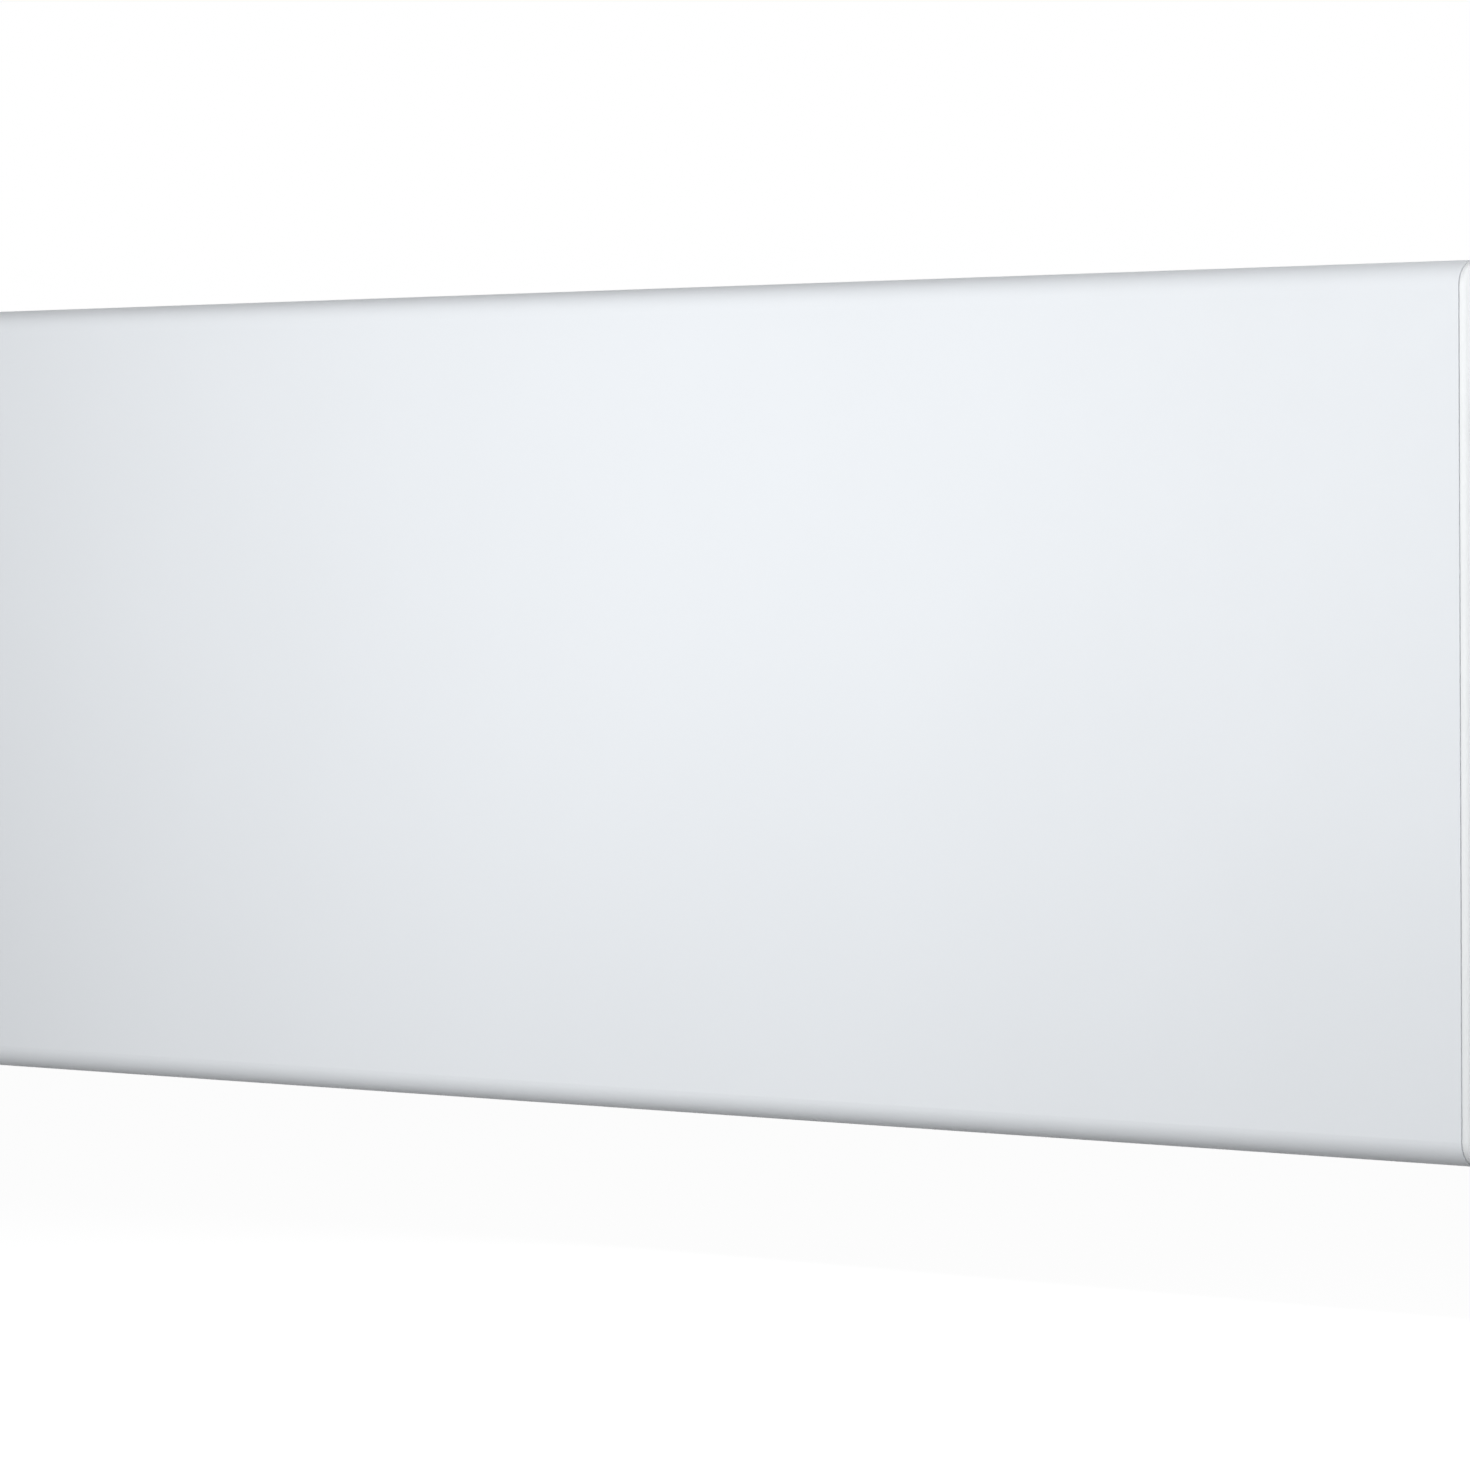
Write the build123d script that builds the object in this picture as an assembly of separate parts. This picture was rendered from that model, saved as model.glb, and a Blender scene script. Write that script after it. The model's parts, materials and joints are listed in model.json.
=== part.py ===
from build123d import *
import math
import os

# A wall-hung electric panel heater, in millimetres. X runs along its length, +Y points at
# the wall and +Z is up. The origin lies on the wall, in the middle of the four wall screws.

# Overall sizes
LENGTH = 1000.0             # end cap to end cap
HEIGHT = 370.0              # casing, top to bottom
CASE_DEPTH = 60.0           # casing, front face to rear face
WALL_GAP = 24.0             # wall to the casing's rear face

# Casing sheet
SHEET = 1.0                 # front panel
FRONT_BEND = 10.5           # outer radius of the long top and bottom bends
REAR_BEND = 2.0             # outer radius of the bends into the return flanges
RETURN_FLANGE = 16.0        # height of the flanges behind the casing
LEAST_BEND = 0.5            # smallest inner radius of any bend
REAR_SHEET = 0.8            # rear panel
REAR_EDGE_GAP = 3.0         # rear panel's edge to the casing's inner top and bottom
BEAD_WIDTH = 16.0           # pressed stiffening beads of the rear panel
BEAD_HEIGHT = 2.4
BEAD_DRAFT = 20.0           # slope of the beads' sides, in degrees
BEAD_OFFSET = 34.0          # beads above and below the middle
BEAD_END_GAP = 70.0
REAR_END_GAP = 0.5          # rear panel's end to the caps' skirts

# End caps
CAP_RIM = 3.0               # part of the cap that shows beyond the sheet
CAP_EDGE = 1.8              # rounding of its outer edge
CAP_SEAM = 0.6              # gap between the sheet's end and the rim
CAP_FIT = 0.25              # skirt to the inside of the sheet
CAP_WALL = 1.8
CAP_SKIRT = 14.0            # depth of the skirt inside the sheet
CAP_BORDER = 3.5            # flat border round the recessed end face
CAP_RECESS = 0.4
CAP_RIB = 1.5
CAP_RIB_DEPTH = 8.0
CAP_RIB_PITCH = 50.0
BOSS_WALL = 2.2
BOSS_FLOOR = 1.5
CAP_SCREW_FROM_EDGE = 22.0  # cap screws, below the top and above the bottom
CAP_SCREW_FROM_SEAM = 7.0
CAP_RIB_CLEAR = 12.0        # ribs to the switch
CAP_RIB_TOP = 45.0          # blank cap's end ribs, from the top and bottom

# Air grilles in the top and bottom of the casing
GRILLE_SHEET = 0.8
GRILLE_FROM_REAR = 9.0      # casing's rear face to the opening
GRILLE_FROM_BEND = 0.5      # front bend to the grille plate
GRILLE_LAP = 3.5            # grille plate beyond the opening
GRILLE_END_GAP = 16.0       # bulkhead to the opening
GRILLE_CORNER = 4.0
AIR_SLOT_LENGTH = 58.0
AIR_SLOT_WIDTH = 4.0
AIR_SLOT_PITCH_X = 68.0
AIR_SLOT_PITCH_Y = 8.5
SLOT_END_GAP = 4.0          # last slots to the opening's ends
SLOT_SIDE_GAP = 2.0         # outer slots to the opening's sides

# Bulkheads that carry the element and close off the control compartment
BULKHEAD_SHEET = 1.0
BULKHEAD_BEND = 2.0         # outer radius
BULKHEAD_FLANGE = 13.0
BULKHEAD_NOTCH = 12.0       # flanges stop short of the bulkhead's top and bottom
BULKHEAD_EDGE_GAP = 9.0     # bulkhead's edge to the casing's top and bottom
CONTROL_BAY = 76.0          # right bulkhead to the right end
LEFT_BAY = 32.0             # left bulkhead to the left end
SHIELD_SHEET = 0.5
SHIELD_AIR_GAP = 5.5        # behind the front panel
SHIELD_LIP = 8.0
SHIELD_BEND = 1.2           # outer radius
SHIELD_FROM_EDGE = 14.0     # bulkheads' edge to the shield's
FLANGE_RIVET_FROM_EDGE = 34.0

# Heating element
ELEMENT_ABOVE_BOTTOM = 112.0
ROD_RADIUS = 4.25
ROD_OFFSET = 14.0           # each rod above or below the element's middle
ROD_CLEARANCE = 0.05
COLLAR_RADIUS = 6.6
FIN_THICKNESS = 1.6
FIN_AIR_GAP = 8.0           # fin tips to the shield and to the rear panel
FIN_REACH_Z = 58.0
FIN_SLIT = 2.4
FIN_SLIT_PITCH = 38.0
FIN_ROOT = 8.0              # solid part of a fin beside its collar
WEB_THICKNESS = 2.6
FIN_END_GAP = 30.0          # left bulkhead to the finned profile
FIN_COLD_END = 34.0         # right bulkhead to the finned profile
ROD_TAIL = 14.0             # rods beyond the right bulkhead
BUSH_RADIUS = 7.5
BUSH_FLANGE_RADIUS = 10.5
BUSH_FLANGE = 2.5
BUSH_TAIL = 5.0             # bush beyond the bulkhead
SEAL_LENGTH = 4.0           # ceramic seal at each end of the rod
STUD_LENGTH = 8.0
STUD_RADIUS = 1.5
SEAL_RADIUS = 3.75
HAIRPIN_GAP = 6.0           # profile's end to the hairpin's bend
CARRIER_SHEET = 1.2
CARRIER_BOLT = 34.0         # carrier's rivets above and below its middle
CARRIER_HALF_WIDTH = 16.0
CARRIER_REACH = 12.0        # box above and below the rods' axes
CARRIER_FOOT = 8.0          # foot beyond its rivets
CARRIER_FRAME = 4.0         # foot's edge round its window
CARRIER_GAP = 3.0           # carrier to the profile's end
CARRIER_SLIDE = 0.2         # rod in the carrier's holes
CARRIER_BEND = 2.4          # outer radius

# Wall bracket
BRACKET_SHEET = 1.5
SCREW_SPACING_X = 440.0
SCREW_FROM_EDGE = 85.0      # wall screws, below the casing's top and above its bottom
WALL_SCREW_RADIUS = 2.75
UPRIGHT_WIDTH = 36.0
UPRIGHT_FLANGE = 10.0       # depth of the upright's flanges below the hooks
BRACKET_BEND = 2.2          # outer radius
RAIL_HEIGHT = 30.0
RAIL_LIP = 8.0
RAIL_FROM_EDGE = 125.0
RAIL_TAB = 20.0
RAIL_TAB_EDGE = 1.0         # tab's edge, in from the upright's flange's
RAIL_RIVET_DEPTH = 5.6      # wall to the rivets through the rails' tabs
RAIL_RIVET_OFFSET = 5.0
RELIEF = 3.0                # notch in a rail's lips beside its tab
UPRIGHT_TOE = 8.0           # upright below the bumper's base
TOE_CORNER = 6.0            # slanted corner of its flanges
HOOK_ROOT = 12.0            # deep part of the flange below the pin
HOOK_TAPER = 22.0           # height over which it narrows
HOOK_ROUND = 1.5

# Hanging pins, which the casing swings on
PIN_RADIUS = 3.0
PIN_CLEARANCE = 0.1         # pin in its hook
PIN_FIT = 0.05              # pin in the hanger's ears
PIN_FROM_WALL = 12.0
PIN_BELOW_TOP = 65.0
HOOK_PRONG = 3.4
HOOK_LIP = 7.0              # prong's tip above the pin's axis
HOOK_BACK = 12.0            # back of the hook above the pin's axis
HANGER_SHEET = 1.5
HANGER_SIDE_GAP = 1.5       # hanger's ear to the upright's flange
HANGER_EAR = 6.5
HANGER_ABOVE = 13.0         # hanger's base above and below the pin
HANGER_BELOW = 30.0
HANGER_BEND = 2.2           # outer radius
HANGER_RIVET_SIDE = 6.0     # hanger's rivets to the upright's inner wall
HANGER_RIVET_BELOW = 24.0   # hanger's rivets below and above the pin
HANGER_RIVET_ABOVE = 6.0
PIN_HEAD = 1.5
BUMPER_ABOVE_BOTTOM = 55.0
BUMPER_RADIUS = 9.0
BUMPER_BASE_RADIUS = 12.0
BUMPER_BASE = 3.0
BUMPER_STUD = 3.0
BUMPER_TAIL = 5.0           # snap tail inside the rear panel
BUMPER_BARB = 1.2           # tail's widest part beyond the stud
BUMPER_NOSE = 2.0           # its rounded nose, in from the side
BUMPER_REST_GAP = 0.3

# Fasteners
SCREW_RADIUS = 1.7
SCREW_CLEARANCE = 0.05
SCREW_HEAD_RADIUS = 3.4
SCREW_HEAD = 2.2
SCREW_LENGTH = 8.0
PILOT_END = 1.0             # pilot hole beyond the screw's tip
CASING_SCREW_PITCH = 210.0
CASING_SCREW_FROM_SKIRT = 26.0
SCREW_BULKHEAD_GAP = 4.0    # casing screws to a bulkhead
RIVET_RADIUS = 2.0
RIVET_CLEARANCE = 0.05
RIVET_HEAD_RADIUS = 3.5
RIVET_HEAD = 1.2
RIVET_TAIL = 0.9            # formed tail beyond the shank

# Controls on the right end
DIAL_BELOW_TOP = 62.0
DIAL_RADIUS = 19.0
DIAL_HEIGHT = 13.0
DIAL_GAP = 0.5
DIAL_GRIPS = 20
DIAL_GRIP_DEPTH = 1.0
DIAL_REST = 135.0           # pointer's angle from the top at rest, towards the front
KNOB_SKIRT = 2.4
KNOB_WALL = 1.8
KNOB_RIM_INSET = 2.6        # gripped rim, in from the skirt
KNOB_DRAFT = 0.9            # how much the rim narrows
KNOB_CROWN = 3.2            # flat top, in from the rim
KNOB_CROWN_DEPTH = 1.6
GRIP_RADIUS = 1.5
POINTER_DEPTH = 0.6
HUB_RADIUS = 5.5
POINTER_WIDTH = 1.4
SHAFT_RADIUS = 3.0
SHAFT_FLAT = 1.6            # flat of the shaft, from its axis
SHAFT_HOLE_CLEARANCE = 1.3
SHAFT_FIT = 0.05
SHAFT_END_GAP = 0.3
SHAFT_ROUND = 1.0           # round part of the shaft beyond its bush
POT_SIZE = 17.0
POT_DEPTH = 7.0
POT_BUSH_RADIUS = 3.9
POT_BUSH_LENGTH = 5.0
POT_FLOOR = 2.0
POT_CORNER = 2.0
SWITCH_BELOW_TOP = 116.0
SWITCH_WIDTH = 12.8
SWITCH_HEIGHT = 19.4
SWITCH_DEPTH = 15.0
SWITCH_WALL = 1.0
SWITCH_BEZEL = 1.3          # bezel beyond the body, all round
SWITCH_BEZEL_THICKNESS = 1.4
SWITCH_CORNER = 1.5
SWITCH_TAB_OFFSET = 5.0     # each tab above or below the switch's middle
SWITCH_FIT = 0.1
ROCKER_SIDE_GAP = 0.3
ROCKER_TILT = 8.0           # each way, in degrees
ROCKER_PIN = 1.1
ROCKER_PIN_CLEARANCE = 0.06
ROCKER_ROOM = 9.0           # depth of the rocker's well behind the end face
PIVOT_DEPTH = 3.2           # bezel's face to the rocker's pivot
ROCKER_CREST = 1.8          # pivot to the middle of the rocker's face
ROCKER_ROOT = 4.0           # rocker behind its pivot
LAMP_BELOW_TOP = 94.0
LAMP_RADIUS = 3.0
LAMP_PROUD = 1.0            # lens beyond the end face
LAMP_TAIL = 4.0             # light guide behind the cap
LAMP_FLANGE = 1.2
LED_RADIUS = 1.5
LED_LENGTH = 9.0
BOARD_SHEET = 1.6
BOARD_WIDTH = 44.0
BOARD_BELOW_TOP = 24.0
BOARD_HEIGHT = 72.0
BOARD_STANDOFF = 17.0       # cap's inner face to the board
POST_RADIUS = 3.2
POST_INSET = 5.0            # posts, in from the board's edges
BOARD_CORNER = 2.0
RELAY_SIZE = (15.5, 15.5, 19.0)
RELAY_BELOW_TOP = 26.0
RELAY_OFFSET = 2.25         # relay's middle, towards the front
RELAY_EDGE = 0.8            # rounding of its outer edges
LARGE_CAPACITOR = (22.0, 5.0, 18.0)     # below the board's top, radius, height
SMALL_CAPACITOR = (40.0, 4.0, 12.0)
CAPACITOR_OFFSET = 13.0
CAPACITOR_EDGE = 0.6        # chamfer of the cans' tops
CONNECTOR_DEPTH = 8.0
CONNECTOR_HEIGHT = 9.0
CONNECTOR_PITCH = 8.0
CONNECTOR_ABOVE_EDGE = 8.0
CONNECTOR_HOLE_DEPTH = 5.0
LEAD_CLEARANCE = 0.15       # lead in its hole
SENSOR_ABOVE_BOTTOM = 42.0
SENSOR_RADIUS = 2.5
SENSOR_LENGTH = 28.0
SENSOR_FROM_WALL = 6.5      # cap's inner face to the probe's axis
CLIP_HEIGHT = 7.0
CLIP_WALL = 1.2
CLIP_CLEARANCE = 0.1
CLIP_BASE = (1.5, 11.0)     # its foot on the cap, thickness and width
CLIP_STEM = 3.0
CLIP_MOUTH = 3.4
CLIP_ABOVE_VENTS = 2.5
PROBE_PROUD = 3.0           # probe above its clip
VENT_LENGTH = 14.0
VENT_WIDTH = 2.0
VENT_PITCH = 5.0
VENTS = 6

# Mains connection
CORD_BORE = 3.6             # radius of the cord's way through the grommet
CORD_FROM_END = 48.0
CORD_FROM_REAR = 14.0
GROMMET_HOLE = 7.0
GROMMET_FIT = 0.05
GROMMET_FLANGE = 9.2
GROMMET_FLANGE_THICKNESS = 2.0
GROMMET_LENGTH = 13.0
GROMMET_LIP = 1.2
GROMMET_CHAMFER = 1.0
GROMMET_TAPER = 1.5         # how much its neck narrows inwards
EARTH_FROM_BUSH = 6.1       # bush of the upper rod to the earth screw, along Y
EARTH_ABOVE_BLOCK = 32.0
TERMINAL_ABOVE_BOTTOM = 78.0
TERMINAL_POLES = 3
TERMINAL_PITCH = 9.0
TERMINAL_HEIGHT = 22.0
TERMINAL_DEPTH = 16.0
TERMINAL_FOOT = 4.0
TERMINAL_FOOT_INSET = 5.0   # foot, in from the block's top and bottom
TERMINAL_EDGE = 1.5         # chamfer of each barrel
TERMINAL_SLOT = 1.0         # gap between barrels
TERMINAL_SPINE = 3.0        # spine between the barrels, in from their ends
TERMINAL_SCREW_OFFSET = 17.5
SLEEVE_RADIUS = 2.6
SLEEVE_BORE = 1.7
SLEEVE_CLEARANCE = 0.1
SLEEVE_INSET = 2.0          # sleeve's ends inside the block
SLEEVE_FROM_REAR = 9.0      # rear panel to the sleeves' axes
POLE_SCREW_RADIUS = 1.3
POLE_SCREW_FROM_END = 5.0   # pole screws, in from the block's ends
POLE_WELL = 0.9             # well's wall beyond the screw
LEAD_RADIUS = 1.25
LEAD_BEND = 7.5

# Thermal cut-out on the right bulkhead
CUTOUT_ABOVE_ELEMENT = 72.0
CUTOUT_RADIUS = 8.0
CUTOUT_CLEARANCE = 0.3
CUTOUT_DEPTH = 9.0
CUTOUT_RIVET_OFFSET = 12.5
CUTOUT_PLATE = 0.8
CUTOUT_EAR = 8.0            # width of its plate's ears
CUTOUT_COLLAR = 1.2         # plate beyond the body
CUTOUT_NOSE = 1.5           # body beyond the bulkhead, towards the element
CUTOUT_TAB_OFFSET = 4.0
TAB_WIDTH = 6.3
TAB_THICKNESS = 0.8
TAB_LENGTH = 8.0
LUG_RADIUS = 4.2
LUG_NECK = 4.0

# Places worked out from the sizes above
TOP = HEIGHT / 2
BOTTOM = -HEIGHT / 2
REAR = -WALL_GAP
FRONT = REAR - CASE_DEPTH
MIDDLE_Y = (FRONT + REAR) / 2
RIGHT = LENGTH / 2
CAP_INNER = RIGHT - CAP_RIM
PANEL_END = CAP_INNER - CAP_SEAM
SKIRT_END = CAP_INNER - CAP_SKIRT
REAR_INNER = REAR - SHEET - REAR_SHEET
BULKHEAD_R = RIGHT - CONTROL_BAY
BULKHEAD_L = -RIGHT + LEFT_BAY
SHIELD_Y = FRONT + SHEET + SHIELD_AIR_GAP
GRILLE_X = (BULKHEAD_L + BULKHEAD_SHEET + GRILLE_END_GAP, BULKHEAD_R - GRILLE_END_GAP)
GRILLE_Y = (FRONT + FRONT_BEND + GRILLE_FROM_BEND + GRILLE_LAP, REAR - GRILLE_FROM_REAR)
GRILLE_WIDTH = GRILLE_Y[1] - GRILLE_Y[0]
ELEMENT_Z = BOTTOM + ELEMENT_ABOVE_BOTTOM
ELEMENT_Y = (SHIELD_Y + SHIELD_SHEET + REAR_INNER) / 2
FIN_REACH_Y = (REAR_INNER - SHIELD_Y - SHIELD_SHEET) / 2 - FIN_AIR_GAP
UPRIGHT_X = SCREW_SPACING_X / 2
WALL_SCREW_Z = TOP - SCREW_FROM_EDGE
PIN_Z = TOP - PIN_BELOW_TOP
PIN_Y = -PIN_FROM_WALL
BUMPER_Z = BOTTOM + BUMPER_ABOVE_BOTTOM
RAIL_Z = TOP - RAIL_FROM_EDGE
DIAL_Z = TOP - DIAL_BELOW_TOP
SWITCH_Z = TOP - SWITCH_BELOW_TOP
LAMP_Z = TOP - LAMP_BELOW_TOP
BOARD_X = CAP_INNER - BOARD_STANDOFF - BOARD_SHEET
BOARD_Z = (TOP - BOARD_BELOW_TOP - BOARD_HEIGHT, TOP - BOARD_BELOW_TOP)
END_FACE = RIGHT - CAP_RECESS
CORD_X = RIGHT - CORD_FROM_END
CORD_Y = REAR - CORD_FROM_REAR
TERMINAL_Z = BOTTOM + TERMINAL_ABOVE_BOTTOM
SLEEVE_Y = REAR_INNER - SLEEVE_FROM_REAR
CUTOUT_Z = ELEMENT_Z + CUTOUT_ABOVE_ELEMENT
SENSOR_Z = BOTTOM + SENSOR_ABOVE_BOTTOM
KNOB_X = (END_FACE + DIAL_GAP, END_FACE + DIAL_GAP + DIAL_HEIGHT)
BEZEL_FACE = END_FACE + SWITCH_BEZEL_THICKNESS
PIVOT_X = BEZEL_FACE - PIVOT_DEPTH
EARTH_Y = ELEMENT_Y + BUSH_RADIUS + EARTH_FROM_BUSH
EARTH_Z = TERMINAL_Z + EARTH_ABOVE_BLOCK
RAIL_RIVET_Y = -RAIL_RIVET_DEPTH
UPRIGHT_LOW = BUMPER_Z - BUMPER_BASE_RADIUS - UPRIGHT_TOE
UPRIGHT_HIGH = PIN_Z + HOOK_BACK
EPS = 0.1                   # how far joined shapes run into each other
HAIR = 0.01                 # keeps a cutter's face off the face it starts from
PAST = 5.0                  # how far a cutter runs past what it cuts


def block(x, y, z):
    """A box from three (low, high) pairs."""
    size = [high - low for low, high in (x, y, z)]
    middle = [(low + high) / 2 for low, high in (x, y, z)]
    return Pos(*middle) * Box(*size)


def rod(start, end, radius):
    """A round bar between two points."""
    way = Vector(*end) - Vector(*start)
    return extrude(Plane(origin=start, z_dir=way) * Circle(radius), amount=way.length)


def slab(outline, x):
    """A YZ outline extruded from x[0] to x[1]."""
    return Pos(x[0], 0, 0) * extrude(outline, amount=x[1] - x[0], dir=(1, 0, 0))


def casing_outline(inset):
    """The casing's outline seen from the end, moved inwards."""
    face = Plane.YZ * Pos(MIDDLE_Y, 0) * Rectangle(CASE_DEPTH - 2 * inset, HEIGHT - 2 * inset)
    columns = face.vertices().group_by(Axis.Y)
    face = fillet(columns[0], max(FRONT_BEND - inset, LEAST_BEND))
    return fillet(face.vertices().group_by(Axis.Y)[-1], max(REAR_BEND - inset, LEAST_BEND))


def spread(low, high, pitch):
    """Evenly spaced places at the given pitch, centred between two ends."""
    count = int((high - low) / pitch + 1e-6) + 1
    first = (low + high - (count - 1) * pitch) / 2
    return [first + i * pitch for i in range(count)]


def beside_bulkhead(x):
    """A screw's place, moved aside if it would meet a bulkhead's plate."""
    keep = BULKHEAD_SHEET / 2 + SCREW_RADIUS + SCREW_BULKHEAD_GAP / 2
    for wall in (BULKHEAD_L + BULKHEAD_SHEET / 2, BULKHEAD_R + BULKHEAD_SHEET / 2):
        if abs(x - wall) < keep:
            return wall - math.copysign(keep, wall)
    return x


def casing_screw_places():
    reach = PANEL_END - CAP_SKIRT - CASING_SCREW_FROM_SKIRT
    places = [beside_bulkhead(x) for x in spread(-reach, reach, CASING_SCREW_PITCH)]
    edge = TOP - RETURN_FLANGE + (RETURN_FLANGE - REAR_EDGE_GAP - SHEET) / 2
    return [(x, z) for z in (edge, -edge) for x in places]


def cap_screw_places():
    x = PANEL_END - CAP_SCREW_FROM_SEAM
    z = TOP - SHEET - CAP_SCREW_FROM_EDGE / 2
    return [(i * x, j * z) for i in (-1, 1) for j in (-1, 1)]


def drill_y(places, radius, y):
    """Round cutters along Y at (x, z) places."""
    return [rod((x, y[0], z), (x, y[1], z), radius) for x, z in places]


def drill_x(x, y, heights, radius):
    """Round cutters along X through a plate at x, one at each height."""
    return [rod((x - PAST, y, z), (x + PAST, y, z), radius) for z in heights]


def front_panel():
    section = casing_outline(0) - casing_outline(SHEET)
    gap = HEIGHT - 2 * RETURN_FLANGE
    section -= Plane.YZ * Pos(REAR, 0) * Rectangle(4 * SHEET, gap)
    panel = slab(section, (-PANEL_END, PANEL_END))
    opening = RectangleRounded(GRILLE_X[1] - GRILLE_X[0], GRILLE_WIDTH, GRILLE_CORNER)
    middle = (sum(GRILLE_X) / 2, sum(GRILLE_Y) / 2)
    for z in (TOP, BOTTOM):
        cutter = extrude(opening, amount=4 * SHEET, both=True)
        panel -= Pos(middle[0], middle[1], z) * cutter
    screws = casing_screw_places() + cap_screw_places()
    panel -= drill_y(screws, SCREW_RADIUS + SCREW_CLEARANCE, (REAR - 2 * SHEET, REAR + SHEET))
    panel -= rod((CORD_X, CORD_Y, BOTTOM - SHEET), (CORD_X, CORD_Y, BOTTOM + 2 * SHEET), GROMMET_HOLE)
    return panel


def rear_edge():
    """Half the rear panel's height."""
    return TOP - SHEET - REAR_EDGE_GAP


def rear_panel_end():
    return SKIRT_END - REAR_END_GAP


def bead(z, grow, height):
    """A pressed bead's body, standing out towards the wall."""
    length = 2 * rear_panel_end() - 2 * BEAD_END_GAP + 2 * grow
    outline = SlotOverall(length, BEAD_WIDTH + 2 * grow)
    base = Plane(origin=(0, REAR - SHEET - REAR_SHEET, z), x_dir=(1, 0, 0), z_dir=(0, 1, 0))
    return base * extrude(outline, amount=height, taper=BEAD_DRAFT)


def hanger_rivet_places():
    wide = UPRIGHT_WIDTH / 2 - BRACKET_SHEET - HANGER_RIVET_SIDE
    heights = (PIN_Z - HANGER_RIVET_BELOW, PIN_Z + HANGER_RIVET_ABOVE)
    return [(s * UPRIGHT_X + i * wide, z) for s in (-1, 1) for i in (-1, 1) for z in heights]


def bumper_places():
    return [(-UPRIGHT_X, BUMPER_Z), (UPRIGHT_X, BUMPER_Z)]


def bulkhead_rivet_places():
    """On the rear flanges of both bulkheads."""
    reach = rear_edge() - FLANGE_RIVET_FROM_EDGE
    columns = (
        BULKHEAD_L + BULKHEAD_SHEET + BULKHEAD_FLANGE / 2,
        BULKHEAD_R - BULKHEAD_FLANGE / 2,
    )
    return [(x, z) for x in columns for z in (-reach, 0.0, reach)]


def terminal_screw_places():
    return [(CORD_X + i * TERMINAL_SCREW_OFFSET, TERMINAL_Z) for i in (-1, 1)]


def rear_panel():
    edge, end = rear_edge(), rear_panel_end()
    y = (REAR - SHEET - REAR_SHEET, REAR - SHEET)
    plate = block((-end, end), y, (-edge, edge))
    for z in (BEAD_OFFSET, -BEAD_OFFSET):
        plate += bead(z, 0, REAR_SHEET + BEAD_HEIGHT)
        plate -= Pos(0, -HAIR, 0) * bead(z, -REAR_SHEET, BEAD_HEIGHT + HAIR)
    cut = (y[0] - PAST, y[1] + PAST)
    plate -= drill_y(casing_screw_places(), SCREW_RADIUS + SCREW_CLEARANCE, cut)
    plate -= drill_y(terminal_screw_places(), SCREW_RADIUS + SCREW_CLEARANCE, cut)
    rivets = hanger_rivet_places() + bulkhead_rivet_places()
    plate -= drill_y(rivets, RIVET_RADIUS + RIVET_CLEARANCE, cut)
    plate -= drill_y(bumper_places(), BUMPER_STUD + RIVET_CLEARANCE, cut)
    return plate


def grille(z_low):
    """A slotted plate that lies inside the casing, under its opening."""
    length = GRILLE_X[1] - GRILLE_X[0] + 2 * GRILLE_LAP
    width = GRILLE_WIDTH + 2 * GRILLE_LAP
    plate = extrude(RectangleRounded(length, width, GRILLE_CORNER), amount=GRILLE_SHEET)
    half = (GRILLE_X[1] - GRILLE_X[0]) / 2
    reach_x = half - AIR_SLOT_LENGTH / 2 - SLOT_END_GAP
    reach_y = GRILLE_WIDTH / 2 - AIR_SLOT_WIDTH / 2 - SLOT_SIDE_GAP
    slot = extrude(SlotOverall(AIR_SLOT_LENGTH, AIR_SLOT_WIDTH), amount=PAST, both=True)
    slots = [
        Pos(x, y, 0) * slot
        for x in spread(-reach_x, reach_x, AIR_SLOT_PITCH_X)
        for y in spread(-reach_y, reach_y, AIR_SLOT_PITCH_Y)
    ]
    return Pos(sum(GRILLE_X) / 2, sum(GRILLE_Y) / 2, z_low) * (plate - slots)


def cap_shell():
    """The moulded cap for the right end, without its openings."""
    rim = slab(casing_outline(0), (CAP_INNER, RIGHT))
    rim = fillet(rim.faces().sort_by(Axis.X)[-1].edges(), CAP_EDGE)
    rim -= slab(casing_outline(CAP_BORDER), (END_FACE, RIGHT + PAST))
    inset = SHEET + CAP_FIT
    skirt = casing_outline(inset) - casing_outline(inset + CAP_WALL)
    return rim + slab(skirt, (SKIRT_END, CAP_INNER))


def cap_ribs(low, high):
    """Stiffening ribs across the inside of a cap."""
    y = (FRONT + SHEET + CAP_FIT + CAP_WALL / 2, REAR - SHEET - CAP_FIT - CAP_WALL / 2)
    x = (CAP_INNER - CAP_RIB_DEPTH, CAP_INNER + EPS)
    heights = spread(low, high, CAP_RIB_PITCH)
    return [block(x, y, (z - CAP_RIB / 2, z + CAP_RIB / 2)) for z in heights]


def cap_bosses():
    """Screw bosses behind the casing's return flanges, and their pilot holes."""
    bosses, pilots = [], []
    wall = REAR - SHEET - CAP_FIT
    tip = wall - SCREW_LENGTH - BOSS_FLOOR
    for x, z in cap_screw_places():
        if x > 0:
            bosses.append(rod((x, wall - EPS, z), (x, tip, z), SCREW_RADIUS + BOSS_WALL))
            web = block((x, CAP_INNER + EPS), (tip, wall - EPS), (z - CAP_RIB / 2, z + CAP_RIB / 2))
            bosses.append(web)
            end = (x, tip + BOSS_FLOOR, z)
            pilots.append(rod((x, wall + PAST, z), end, SCREW_RADIUS + SCREW_CLEARANCE))
    return bosses, pilots


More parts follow.
